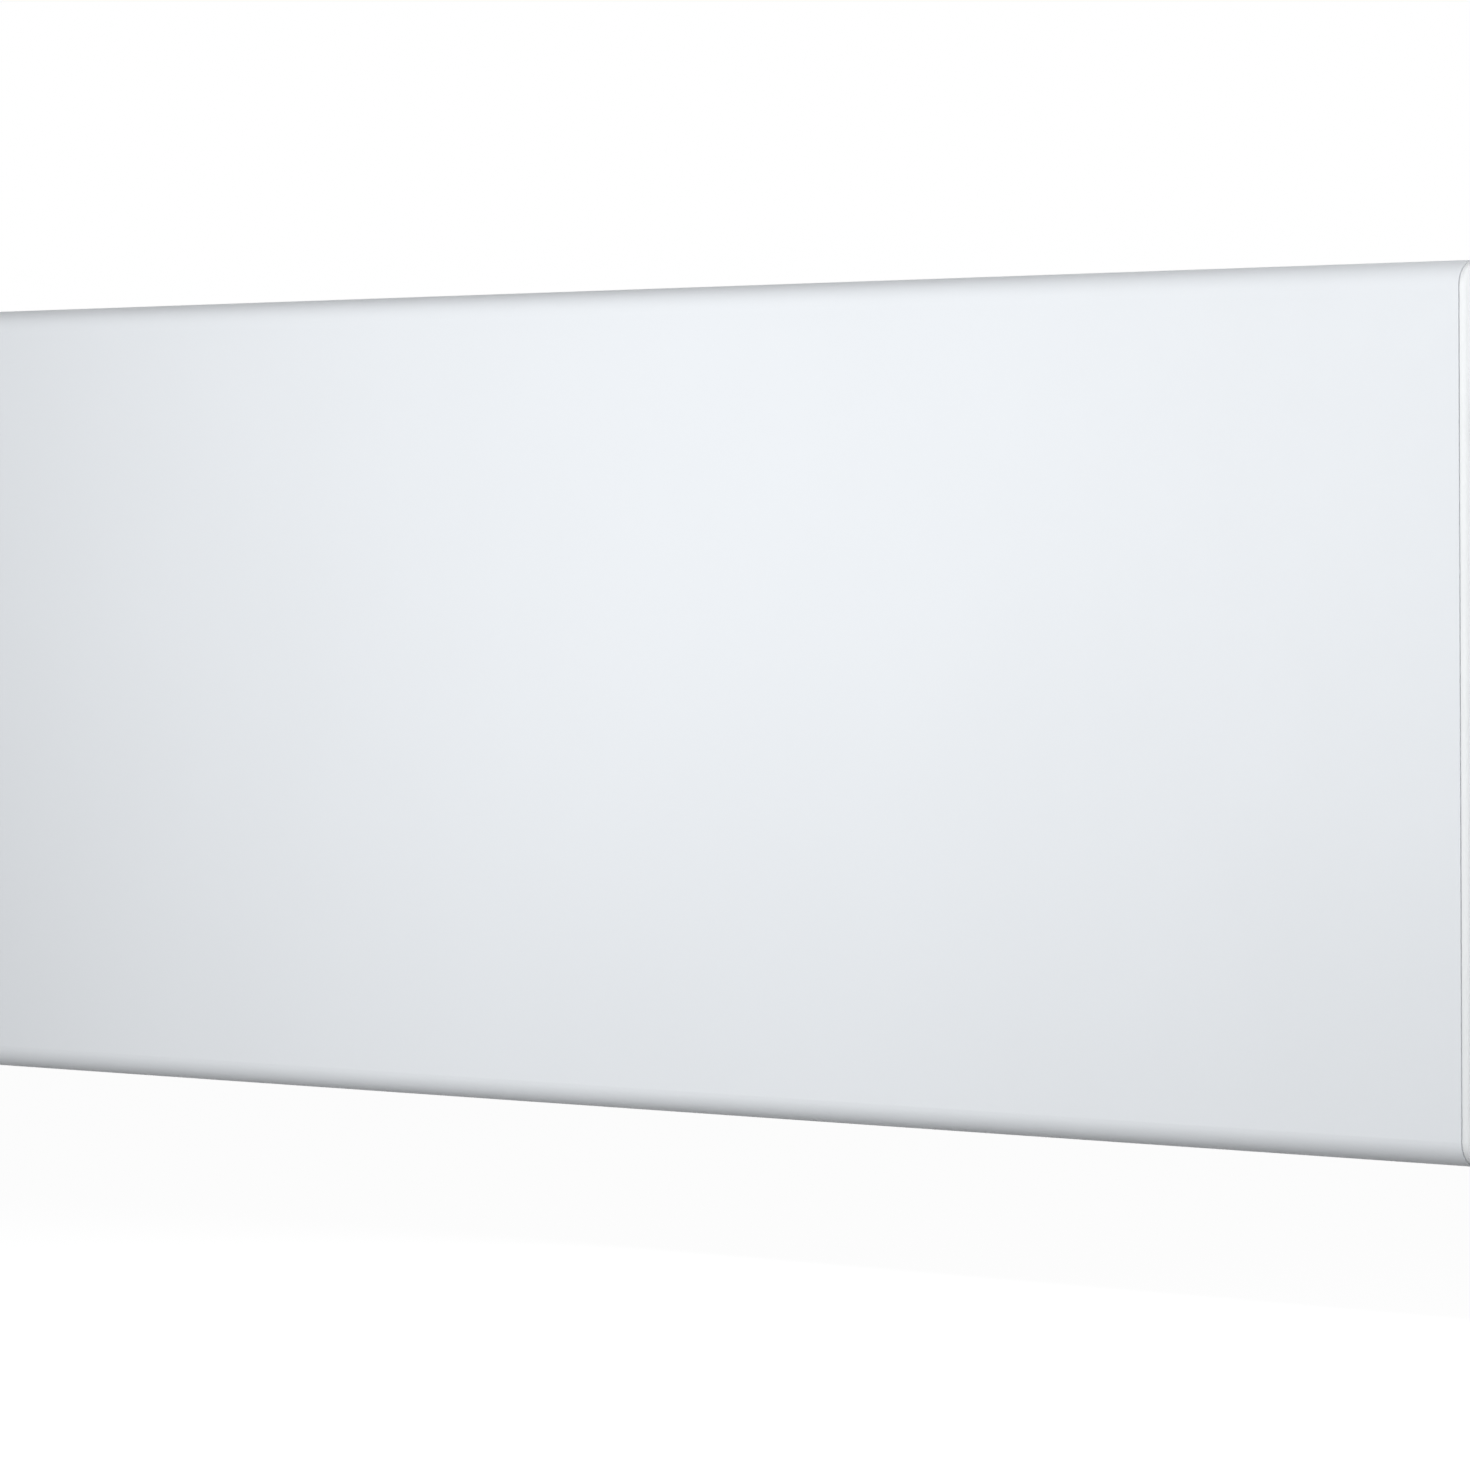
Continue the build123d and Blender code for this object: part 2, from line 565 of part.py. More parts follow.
def end_cap_left():
    bosses, pilots = cap_bosses()
    reach = TOP - CAP_RIB_TOP
    cap = cap_shell() + cap_ribs(-reach, reach) + bosses
    return mirror(cap - pilots, Plane.YZ)


def post_places():
    """The board's corner screws, as (y, z)."""
    y = BOARD_WIDTH / 2 - POST_INSET
    heights = (BOARD_Z[0] + POST_INSET, BOARD_Z[1] - POST_INSET)
    return [(MIDDLE_Y + i * y, z) for i in (-1, 1) for z in heights]


def vent_heights():
    return [SENSOR_Z + (i - (VENTS - 1) / 2) * VENT_PITCH for i in range(VENTS)]


def end_cap_right():
    bosses, pilots = cap_bosses()
    low = clip_base() + CLIP_HEIGHT + SENSOR_LENGTH
    high = SWITCH_Z - SWITCH_HEIGHT / 2 - CAP_RIB_CLEAR
    cap = cap_shell() + cap_ribs(low, high) + bosses
    for y, z in post_places():
        cap += rod((CAP_INNER + EPS, y, z), (BOARD_X + BOARD_SHEET, y, z), POST_RADIUS)
        hole = (BOARD_X + SCREW_LENGTH + PILOT_END, y, z)
        pilots.append(rod((BOARD_X, y, z), hole, SCREW_RADIUS + SCREW_CLEARANCE))
    through = (CAP_INNER - PAST, RIGHT + PAST)
    hole = SHAFT_RADIUS + SHAFT_HOLE_CLEARANCE
    pilots.append(rod((through[0], MIDDLE_Y, DIAL_Z), (through[1], MIDDLE_Y, DIAL_Z), hole))
    lamp = LAMP_RADIUS + SWITCH_FIT
    pilots.append(rod((through[0], MIDDLE_Y, LAMP_Z), (through[1], MIDDLE_Y, LAMP_Z), lamp))
    wide, tall = SWITCH_WIDTH / 2 + SWITCH_FIT, SWITCH_HEIGHT / 2 + SWITCH_FIT
    y, z = (MIDDLE_Y - wide, MIDDLE_Y + wide), (SWITCH_Z - tall, SWITCH_Z + tall)
    pilots.append(block(through, y, z))
    for z in vent_heights():
        outline = Plane.YZ * Pos(MIDDLE_Y, z) * SlotOverall(VENT_LENGTH, VENT_WIDTH)
        pilots.append(slab(outline, through))
    return cap - pilots


def channel_outline(wide, deep, sheet, bend):
    """A folded channel's section: its web centred on the origin, its flanges running to +Y."""
    outer = Pos(0, deep / 2) * Rectangle(wide, deep)
    outer = fillet(outer.vertices().group_by(Axis.Y)[0], bend)
    inner = Pos(0, deep / 2 + sheet) * Rectangle(wide - 2 * sheet, deep)
    return outer - fillet(inner.vertices().group_by(Axis.Y)[0], bend - sheet)


def bulkhead_plate(face, way):
    """A folded plate across the casing. Its flanges run from its outer face along X the given way."""
    edge = TOP - BULKHEAD_EDGE_GAP
    y = (SHIELD_Y + SHIELD_SHEET, REAR_INNER)
    deep = BULKHEAD_SHEET + BULKHEAD_FLANGE
    section = channel_outline(y[1] - y[0], deep, BULKHEAD_SHEET, BULKHEAD_BEND)
    section = Pos(face, (y[0] + y[1]) / 2, -edge) * Rot(0, 0, -90 * way) * section
    plate = extrude(section, amount=2 * edge)
    for side in (-edge, edge - BULKHEAD_NOTCH):
        x = sorted((face + way * BULKHEAD_SHEET, face + way * (deep + PAST)))
        plate -= block(x, (y[0] - PAST, y[1] + PAST), (side, side + BULKHEAD_NOTCH))
    return plate


def bulkhead_holes(places):
    return drill_y(places, RIVET_RADIUS + RIVET_CLEARANCE, (SHIELD_Y - PAST, REAR_INNER + PAST))


def bulkhead_left():
    plate = bulkhead_plate(BULKHEAD_L, 1)
    places = [p for p in bulkhead_rivet_places() if p[0] < 0]
    plate -= bulkhead_holes(places)
    heights = [ELEMENT_Z + i * CARRIER_BOLT for i in (-1, 1)]
    return plate - drill_x(BULKHEAD_L, ELEMENT_Y, heights, RIVET_RADIUS + RIVET_CLEARANCE)


def rod_heights():
    return (ELEMENT_Z + ROD_OFFSET, ELEMENT_Z - ROD_OFFSET)


def bulkhead_right():
    plate = bulkhead_plate(BULKHEAD_R + BULKHEAD_SHEET, -1)
    places = [p for p in bulkhead_rivet_places() if p[0] > 0]
    plate -= bulkhead_holes(places)
    plate -= drill_x(BULKHEAD_R, ELEMENT_Y, rod_heights(), BUSH_RADIUS + RIVET_CLEARANCE)
    plate -= drill_x(BULKHEAD_R, ELEMENT_Y, [CUTOUT_Z], CUTOUT_RADIUS + CUTOUT_CLEARANCE)
    plate -= drill_x(BULKHEAD_R, ELEMENT_Y, cutout_rivet_heights(), RIVET_RADIUS + RIVET_CLEARANCE)
    return plate - drill_x(BULKHEAD_R, EARTH_Y, [EARTH_Z], SCREW_RADIUS + SCREW_CLEARANCE)


def cutout_rivet_heights():
    return [CUTOUT_Z + i * CUTOUT_RIVET_OFFSET for i in (-1, 1)]


def heat_shield():
    """A thin sheet behind the front panel, with its long edges turned back."""
    edge = TOP - BULKHEAD_EDGE_GAP - SHIELD_FROM_EDGE
    x = (BULKHEAD_L, BULKHEAD_R + BULKHEAD_SHEET)
    flat = edge - SHIELD_BEND
    sheet = block(x, (SHIELD_Y, SHIELD_Y + SHIELD_SHEET), (-flat, flat))
    section = channel_outline(2 * edge, SHIELD_LIP, SHIELD_SHEET, SHIELD_BEND)
    section = Plane.YZ * Pos(SHIELD_Y, 0) * Rot(0, 0, -90) * section
    gap = BULKHEAD_SHEET + BULKHEAD_FLANGE + SHIELD_BEND
    sheet += slab(section, (BULKHEAD_L + gap, BULKHEAD_R - gap))
    places = bulkhead_rivet_places()
    cut = (SHIELD_Y - PAST, SHIELD_Y + PAST)
    return sheet - drill_y(places, RIVET_RADIUS + RIVET_CLEARANCE, cut)


def rivet(base, way, grip):
    """A blind rivet: a low domed head on one side and a formed tail on the other."""
    base, way = Vector(*base), Vector(*way)
    shank = rod(tuple(base), tuple(base - way * grip), RIVET_RADIUS)
    head = Plane(origin=tuple(base), z_dir=way) * extrude(Circle(RIVET_HEAD_RADIUS), amount=RIVET_HEAD)
    head = chamfer(head.faces().sort_by(Axis(tuple(base), tuple(way)))[-1].edges(), RIVET_HEAD * 0.5)
    ends = tuple(base - way * grip), tuple(base - way * (grip + RIVET_HEAD))
    return shank + head + rod(*ends, RIVET_RADIUS + RIVET_TAIL)


def screw(base, way):
    """A pan-head screw."""
    base, way = Vector(*base), Vector(*way)
    shank = rod(tuple(base), tuple(base - way * SCREW_LENGTH), SCREW_RADIUS)
    head = Plane(origin=tuple(base), z_dir=way) * extrude(Circle(SCREW_HEAD_RADIUS), amount=SCREW_HEAD)
    head = fillet(head.faces().sort_by(Axis(tuple(base), tuple(way)))[-1].edges(), SCREW_HEAD * 0.45)
    return shank + head


def casing_screws():
    return [screw((x, REAR, z), (0, 1, 0)) for x, z in casing_screw_places()]


def cap_screws():
    return [screw((x, REAR, z), (0, 1, 0)) for x, z in cap_screw_places()]


def casing_rivets():
    """They join the hangers, bulkheads, shield, element carrier and cut-out."""
    back, out = REAR - SHEET, REAR - SHEET + HANGER_SHEET
    pieces = [rivet((x, out, z), (0, 1, 0), HANGER_SHEET + REAR_SHEET) for x, z in hanger_rivet_places()]
    for x, z in bulkhead_rivet_places():
        pieces.append(rivet((x, back, z), (0, 1, 0), REAR_SHEET + BULKHEAD_SHEET))
        pieces.append(rivet((x, SHIELD_Y, z), (0, -1, 0), SHIELD_SHEET + BULKHEAD_SHEET))
    for i in (-1, 1):
        base = (BULKHEAD_L, ELEMENT_Y, ELEMENT_Z + i * CARRIER_BOLT)
        pieces.append(rivet(base, (-1, 0, 0), BULKHEAD_SHEET + CARRIER_SHEET))
    for z in cutout_rivet_heights():
        base = (BULKHEAD_R, ELEMENT_Y, z)
        pieces.append(rivet(base, (-1, 0, 0), BULKHEAD_SHEET + CUTOUT_PLATE))
    return pieces


def element_span():
    return (BULKHEAD_L + BULKHEAD_SHEET + FIN_END_GAP, BULKHEAD_R - FIN_COLD_END)


def element_profile():
    """The extruded aluminium profile: two bored collars, a web and four slit fins."""
    outline = Rectangle(WEB_THICKNESS, 2 * ROD_OFFSET)
    for i in (-1, 1):
        outline += Pos(0, i * ROD_OFFSET) * Circle(COLLAR_RADIUS)
        for j in (-1, 1):
            root = (0, i * ROD_OFFSET)
            tip = (j * (FIN_REACH_Y - FIN_THICKNESS), i * (FIN_REACH_Z - FIN_THICKNESS))
            slope = math.degrees(math.atan2(tip[1] - root[1], tip[0] - root[0]))
            reach = math.hypot(tip[0] - root[0], tip[1] - root[1])
            arm = Pos(*root) * Rot(0, 0, slope) * Pos(reach / 2, 0) * Rectangle(reach, FIN_THICKNESS)
            outline += arm + Pos(*tip) * Circle(FIN_THICKNESS)
    for i in (-1, 1):
        outline -= Pos(0, i * ROD_OFFSET) * Circle(ROD_RADIUS + ROD_CLEARANCE)
    x = element_span()
    profile = slab(Plane.YZ * Pos(ELEMENT_Y, ELEMENT_Z) * outline, x)
    near = ROD_OFFSET + COLLAR_RADIUS + FIN_ROOT
    slits = []
    for place in spread(x[0] + FIN_SLIT_PITCH, x[1] - FIN_SLIT_PITCH, FIN_SLIT_PITCH):
        cut = (place - FIN_SLIT / 2, place + FIN_SLIT / 2)
        wide = (ELEMENT_Y - FIN_REACH_Y - PAST, ELEMENT_Y + FIN_REACH_Y + PAST)
        slits.append(block(cut, wide, (ELEMENT_Z + near, ELEMENT_Z + FIN_REACH_Z + PAST)))
        slits.append(block(cut, wide, (ELEMENT_Z - FIN_REACH_Z - PAST, ELEMENT_Z - near)))
    return profile - slits


def element_rod():
    """The sheathed heating rod: a hairpin with its bend at the left."""
    right = BULKHEAD_R + BULKHEAD_SHEET + ROD_TAIL
    left = element_span()[0] - HAIRPIN_GAP
    high, low = rod_heights()
    path = Polyline((right, ELEMENT_Y, high), (left, ELEMENT_Y, high))
    turn = ThreePointArc(
        (left, ELEMENT_Y, high), (left - ROD_OFFSET, ELEMENT_Y, ELEMENT_Z), (left, ELEMENT_Y, low)
    )
    back = Polyline((left, ELEMENT_Y, low), (right, ELEMENT_Y, low))
    start = Plane(origin=(right, ELEMENT_Y, high), z_dir=(-1, 0, 0))
    return sweep(start * Circle(ROD_RADIUS), path=Wire([path.edge(), turn.edge(), back.edge()]))


def element_terminals():
    """A ceramic seal and a stud at each end of the hairpin."""
    start = BULKHEAD_R + BULKHEAD_SHEET + ROD_TAIL
    seal_end = start + SEAL_LENGTH
    pieces = []
    for z in rod_heights():
        seal = rod((start, ELEMENT_Y, z), (seal_end, ELEMENT_Y, z), SEAL_RADIUS)
        stud = rod((seal_end, ELEMENT_Y, z), (seal_end + STUD_LENGTH, ELEMENT_Y, z), STUD_RADIUS)
        pieces.append(seal + stud)
    return pieces


def element_bush(z):
    """A ceramic bush that holds one rod in the right bulkhead."""
    left = BULKHEAD_R - BUSH_FLANGE
    right = BULKHEAD_R + BULKHEAD_SHEET + BUSH_TAIL
    bush = rod((left, ELEMENT_Y, z), (BULKHEAD_R, ELEMENT_Y, z), BUSH_FLANGE_RADIUS)
    bush += rod((BULKHEAD_R, ELEMENT_Y, z), (right, ELEMENT_Y, z), BUSH_RADIUS)
    ends = (left - PAST, ELEMENT_Y, z), (right + PAST, ELEMENT_Y, z)
    return bush - rod(*ends, ROD_RADIUS + ROD_CLEARANCE)


def element_carrier():
    """A folded box on the left bulkhead. The hairpin slides in its two holes as it warms."""
    inner = BULKHEAD_L + BULKHEAD_SHEET
    half = CARRIER_HALF_WIDTH
    reach_z = ROD_OFFSET + CARRIER_REACH
    foot_z = CARRIER_BOLT + CARRIER_FOOT
    face_x = element_span()[0] - CARRIER_GAP
    foot = Rectangle(2 * half, 2 * foot_z)
    foot -= Rectangle(2 * (half - CARRIER_FRAME), 2 * (reach_z - CARRIER_FRAME))
    box = slab(Plane.YZ * Pos(ELEMENT_Y, ELEMENT_Z) * foot, (inner, inner + CARRIER_SHEET))
    section = channel_outline(2 * half, face_x - inner, CARRIER_SHEET, CARRIER_BEND)
    section = Pos(face_x, ELEMENT_Y, ELEMENT_Z - reach_z) * Rot(0, 0, 90) * section
    box += extrude(section, amount=2 * reach_z)
    box -= drill_x(face_x, ELEMENT_Y, rod_heights(), ROD_RADIUS + CARRIER_SLIDE)
    heights = [ELEMENT_Z + i * CARRIER_BOLT for i in (-1, 1)]
    return box - drill_x(inner, ELEMENT_Y, heights, RIVET_RADIUS + RIVET_CLEARANCE)


def flange_outline():
    """An upright's flange seen from the end, with its hook notch."""
    tip = PIN_Y - PIN_RADIUS - PIN_CLEARANCE - HOOK_PRONG
    outline = Polygon(
        (0, UPRIGHT_LOW),
        (0, UPRIGHT_HIGH),
        (PIN_Y + PIN_RADIUS + PIN_CLEARANCE, UPRIGHT_HIGH),
        (tip, PIN_Z + HOOK_LIP),
        (tip, PIN_Z - HOOK_ROOT),
        (-UPRIGHT_FLANGE, PIN_Z - HOOK_ROOT - HOOK_TAPER),
        (-UPRIGHT_FLANGE, UPRIGHT_LOW + TOE_CORNER),
        (-UPRIGHT_FLANGE + TOE_CORNER, UPRIGHT_LOW),
        align=None,
    )
    outline = fillet(outline.vertices().group_by(Axis.X)[0], HOOK_ROUND)
    reach = PIN_RADIUS + PIN_CLEARANCE
    notch = Pos(PIN_Y, PIN_Z) * Circle(reach)
    notch += Pos(PIN_Y, PIN_Z + HOOK_BACK) * Rectangle(2 * reach, 2 * HOOK_BACK)
    return Plane.YZ * (outline - notch)


def upright(x):
    """A channel of the wall bracket, with two hooks."""
    tall = (UPRIGHT_LOW, UPRIGHT_HIGH)
    deep = PIN_FROM_WALL + PIN_RADIUS + PIN_CLEARANCE + HOOK_PRONG + PAST
    section = Rot(0, 0, 180) * channel_outline(UPRIGHT_WIDTH, deep, BRACKET_SHEET, BRACKET_BEND)
    channel = Pos(0, 0, tall[0]) * extrude(section, amount=tall[1] - tall[0])
    flanges = slab(flange_outline(), (-UPRIGHT_WIDTH, UPRIGHT_WIDTH))
    half = UPRIGHT_WIDTH / 2 - BRACKET_SHEET
    channel = channel & (flanges + block((-half, half), (-BRACKET_SHEET, 0), tall))
    channel -= drill_y([(0, -WALL_SCREW_Z), (0, WALL_SCREW_Z)], WALL_SCREW_RADIUS, (-PAST, PAST))
    wall = -math.copysign(UPRIGHT_WIDTH / 2, x)
    channel -= rail_rivet_holes(wall)
    return Pos(x, 0, 0) * channel


def rail_rivet_heights():
    return [s * RAIL_Z + i * RAIL_RIVET_OFFSET for s in (-1, 1) for i in (-1, 1)]


def rail_rivet_holes(x):
    """Cutters for the rivets between rails and an upright, about the given X."""
    return drill_x(x, RAIL_RIVET_Y, rail_rivet_heights(), RIVET_RADIUS + RIVET_CLEARANCE)


def rail(z):
    """A cross rail of the wall bracket: a shallow channel with a riveted tab at each end."""
    end = UPRIGHT_X - UPRIGHT_WIDTH / 2
    section = channel_outline(RAIL_HEIGHT, RAIL_LIP, BRACKET_SHEET, BRACKET_BEND)
    bar = slab(Plane.YZ * Pos(0, z) * Rot(0, 0, 90) * section, (-end, end))
    for i in (-1, 1):
        relief = sorted((i * (end - RELIEF), i * (end + PAST)))
        tab = sorted((i * (end - BRACKET_SHEET), i * end))
        for j in (-1, 1):
            corner = sorted((z + j * RAIL_TAB / 2, z + j * (RAIL_HEIGHT / 2 + PAST)))
            bar -= block(relief, (-RAIL_LIP - PAST, PAST), corner)
        bar += block(tab, (-UPRIGHT_FLANGE + RAIL_TAB_EDGE, 0), (z - RAIL_TAB / 2, z + RAIL_TAB / 2))
        bar -= rail_rivet_holes(i * end)
    return bar


def bracket_rivets():
    """They join the rails' tabs to the uprights' inner flanges."""
    wall = UPRIGHT_X - UPRIGHT_WIDTH / 2 - BRACKET_SHEET
    return [
        rivet((i * wall, RAIL_RIVET_Y, z), (-i, 0, 0), 2 * BRACKET_SHEET)
        for i in (-1, 1)
        for z in rail_rivet_heights()
    ]


def hanger(x):
    """The bracket on the casing's back that holds one hanging pin."""
    ear_in = UPRIGHT_WIDTH / 2 + HANGER_SIDE_GAP
    ear_out = ear_in + HANGER_SHEET
    back = REAR - SHEET
    low, high = PIN_Z - HANGER_BELOW, PIN_Z + HANGER_ABOVE
    section = channel_outline(2 * ear_out, PIN_Y + 2 * HANGER_EAR - back, HANGER_SHEET, HANGER_BEND)
    channel = Pos(0, back, low) * extrude(section, amount=high - low)
    below, above = PIN_Z - HANGER_EAR, PIN_Z + HANGER_EAR
    ear = Polygon((back, low), (PIN_Y, below), (PIN_Y, above), (back, high), align=None)
    ear += Pos(PIN_Y, PIN_Z) * Circle(HANGER_EAR)
    ear -= Pos(PIN_Y, PIN_Z) * Circle(PIN_RADIUS + PIN_FIT)
    web = block((-ear_in, ear_in), (back, back + HANGER_SHEET), (low, high))
    piece = channel & (slab(Plane.YZ * ear, (-ear_out, ear_out)) + web)
    holes = [(px - x, z) for px, z in hanger_rivet_places() if px * x > 0]
    cut = (back - PAST, back + PAST)
    return Pos(x, 0, 0) * (piece - drill_y(holes, RIVET_RADIUS + RIVET_CLEARANCE, cut))


def hanger_pin(x):
    """A pin riveted over at both ends, which rests in two hooks."""
    ear_out = UPRIGHT_WIDTH / 2 + HANGER_SIDE_GAP + HANGER_SHEET
    pin = rod((x - ear_out, PIN_Y, PIN_Z), (x + ear_out, PIN_Y, PIN_Z), PIN_RADIUS)
    for i in (-1, 1):
        ends = (x + i * ear_out, PIN_Y, PIN_Z), (x + i * (ear_out + PIN_HEAD), PIN_Y, PIN_Z)
        pin += rod(*ends, PIN_RADIUS + PIN_HEAD)
    return pin


def bumper(x):
    """A rubber bumper that keeps the casing's foot off the wall."""
    back = REAR - SHEET
    tip = -BRACKET_SHEET - BUMPER_REST_GAP
    inner = back - REAR_SHEET
    outline = Polyline(
        (0, tip),
        (BUMPER_RADIUS - BUMPER_NOSE, tip),
        (BUMPER_RADIUS - BUMPER_NOSE / 2, tip - BUMPER_NOSE / 2),
        (BUMPER_RADIUS, back + BUMPER_BASE),
        (BUMPER_BASE_RADIUS, back + BUMPER_BASE),
        (BUMPER_BASE_RADIUS, back),
        (BUMPER_STUD, back),
        (BUMPER_STUD, inner),
        (BUMPER_STUD + BUMPER_BARB, inner),
        (BUMPER_STUD - BUMPER_BARB / 2, inner - BUMPER_TAIL),
        (0, inner - BUMPER_TAIL),
        close=True,
    )
    return Pos(x, 0, BUMPER_Z) * revolve(make_face(outline), Axis.Y)


def cord_grommet():
    """A rubber grommet in the casing's bottom, where the mains cord goes in."""
    low = BOTTOM - GROMMET_FLANGE_THICKNESS
    neck = GROMMET_HOLE - GROMMET_FIT
    inner = BOTTOM + SHEET
    outline = Polyline(
        (CORD_BORE, low),
        (GROMMET_FLANGE - GROMMET_CHAMFER, low),
        (GROMMET_FLANGE, low + GROMMET_CHAMFER),
        (GROMMET_FLANGE, BOTTOM),
        (neck, BOTTOM),
        (neck, inner),
        (neck + GROMMET_LIP, inner),
        (neck - GROMMET_TAPER, low + GROMMET_LENGTH),
        (CORD_BORE, low + GROMMET_LENGTH),
        close=True,
    )
    ring = revolve(Plane.XZ * make_face(outline), Axis.Z)
    return Pos(CORD_X, CORD_Y, 0) * ring


def pole_places():
    return [CORD_X + (i - (TERMINAL_POLES - 1) / 2) * TERMINAL_PITCH for i in range(TERMINAL_POLES)]


def pole_screw_places():
    reach = TERMINAL_HEIGHT / 2 - POLE_SCREW_FROM_END
    return [(x, TERMINAL_Z + i * reach) for x in pole_places() for i in (-1, 1)]


def terminal_block():
    """A porcelain block with a barrel for each pole and a foot on each side."""
    high = TERMINAL_Z + TERMINAL_HEIGHT / 2
    low = TERMINAL_Z - TERMINAL_HEIGHT / 2
    reach = TERMINAL_SCREW_OFFSET + SCREW_HEAD_RADIUS
    foot = (REAR_INNER - TERMINAL_FOOT, REAR_INNER)
    foot_z = (low + TERMINAL_FOOT_INSET, high - TERMINAL_FOOT_INSET)
    body = block((CORD_X - reach, CORD_X + reach), foot, foot_z)
    for x in pole_places():
        half = (TERMINAL_PITCH - TERMINAL_SLOT) / 2
        barrel = block((x - half, x + half), (REAR_INNER - TERMINAL_DEPTH, REAR_INNER), (low, high))
        body += chamfer(barrel.faces().sort_by(Axis.Y)[0].edges().filter_by(Axis.Z), TERMINAL_EDGE)
    half = TERMINAL_POLES * TERMINAL_PITCH / 2 - TERMINAL_SLOT
    spine = (REAR_INNER - TERMINAL_DEPTH + TERMINAL_FOOT_INSET, REAR_INNER)
    spine_z = (low + TERMINAL_SPINE, high - TERMINAL_SPINE)
    body += block((CORD_X - half, CORD_X + half), spine, spine_z)
    for x in pole_places():
        ends = (x, SLEEVE_Y, low - PAST), (x, SLEEVE_Y, high + PAST)
        body -= rod(*ends, SLEEVE_RADIUS + SLEEVE_CLEARANCE)
    wells = (REAR_INNER - TERMINAL_DEPTH - PAST, SLEEVE_Y)
    body -= drill_y(pole_screw_places(), POLE_SCREW_RADIUS + POLE_WELL, wells)
    cut = (REAR_INNER - TERMINAL_FOOT - PAST, REAR_INNER + PAST)
    return body - drill_y(terminal_screw_places(), SCREW_RADIUS + SCREW_CLEARANCE, cut)


def terminal_sleeves():
    reach = TERMINAL_HEIGHT / 2 - SLEEVE_INSET
    taps = drill_y(pole_screw_places(), POLE_SCREW_RADIUS + SCREW_CLEARANCE, (SLEEVE_Y - PAST, SLEEVE_Y))
    sleeves = []
    for x in pole_places():
        ends = (x, SLEEVE_Y, TERMINAL_Z - reach), (x, SLEEVE_Y, TERMINAL_Z + reach)
        sleeves.append(rod(*ends, SLEEVE_RADIUS) - rod(*ends, SLEEVE_BORE) - taps)
    return sleeves


def terminal_screws():
    tip = SLEEVE_Y - SLEEVE_BORE + 2 * SLEEVE_CLEARANCE
    start = REAR_INNER - TERMINAL_DEPTH + SLEEVE_INSET
    return [rod((x, tip, z), (x, start, z), POLE_SCREW_RADIUS) for x, z in pole_screw_places()]


def terminal_mount_screws():
    y = REAR_INNER - TERMINAL_FOOT
    return [screw((x, y, z), (0, -1, 0)) for x, z in terminal_screw_places()]


def earth_screw():
    return screw((BULKHEAD_R + BULKHEAD_SHEET + TAB_THICKNESS, EARTH_Y, EARTH_Z), (1, 0, 0))


def thermal_cutout():
    """A disc thermostat whose cap looks through the bulkhead at the element."""
    face = BULKHEAD_R + BULKHEAD_SHEET
    plate = face + CUTOUT_PLATE
    ends = (BULKHEAD_R - CUTOUT_NOSE, ELEMENT_Y, CUTOUT_Z), (face + CUTOUT_DEPTH, ELEMENT_Y, CUTOUT_Z)
    body = rod(*ends, CUTOUT_RADIUS)
    outline = SlotOverall(2 * CUTOUT_RIVET_OFFSET + CUTOUT_EAR, CUTOUT_EAR)
    outline += Circle(CUTOUT_RADIUS + CUTOUT_COLLAR)
    body += slab(Plane.YZ * Pos(ELEMENT_Y, CUTOUT_Z) * Rot(0, 0, 90) * outline, (face, plate))
    body -= drill_x(face, ELEMENT_Y, cutout_rivet_heights(), RIVET_RADIUS + RIVET_CLEARANCE)
    back = face + CUTOUT_DEPTH
    for y in cutout_tab_places():
        thick = (y - TAB_THICKNESS / 2, y + TAB_THICKNESS / 2)
        wide = (CUTOUT_Z - TAB_WIDTH / 2, CUTOUT_Z + TAB_WIDTH / 2)
        body += block((back - EPS, back + TAB_LENGTH), thick, wide)
    return body


def cutout_tab_places():
    return (ELEMENT_Y + CUTOUT_TAB_OFFSET, ELEMENT_Y - CUTOUT_TAB_OFFSET)


def control_board():
    half = BOARD_WIDTH / 2
    x = (BOARD_X, BOARD_X + BOARD_SHEET)
    board = block(x, (MIDDLE_Y - half, MIDDLE_Y + half), BOARD_Z)
    board = fillet(board.edges().filter_by(Axis.X), BOARD_CORNER)
    for y, z in post_places():
        board -= drill_x(BOARD_X, y, [z], SCREW_RADIUS + SCREW_CLEARANCE)
    return board


def board_screws():
    return [screw((BOARD_X, y, z), (-1, 0, 0)) for y, z in post_places()]


def board_relay():
    tall, wide, high = RELAY_SIZE
    middle = (BOARD_X - tall / 2, MIDDLE_Y - RELAY_OFFSET, BOARD_Z[1] - RELAY_BELOW_TOP)
    relay = Pos(*middle) * Box(tall, wide, high)
    return fillet(relay.faces().sort_by(Axis.X)[0].edges(), RELAY_EDGE)


def board_capacitor(below, radius, tall):
    y, z = MIDDLE_Y + CAPACITOR_OFFSET, BOARD_Z[1] - below
    can = rod((BOARD_X, y, z), (BOARD_X - tall, y, z), radius)
    return chamfer(can.edges().sort_by(Axis.X)[0], CAPACITOR_EDGE)


def board_capacitors():
    return [board_capacitor(*sizes) for sizes in (LARGE_CAPACITOR, SMALL_CAPACITOR)]


def connector_ways():
    """Places along the board's connector, one for each lead."""
    return [MIDDLE_Y + i * CONNECTOR_PITCH for i in (-1, 0, 1)]


def connector_height():
    return BOARD_Z[0] + CONNECTOR_ABOVE_EDGE


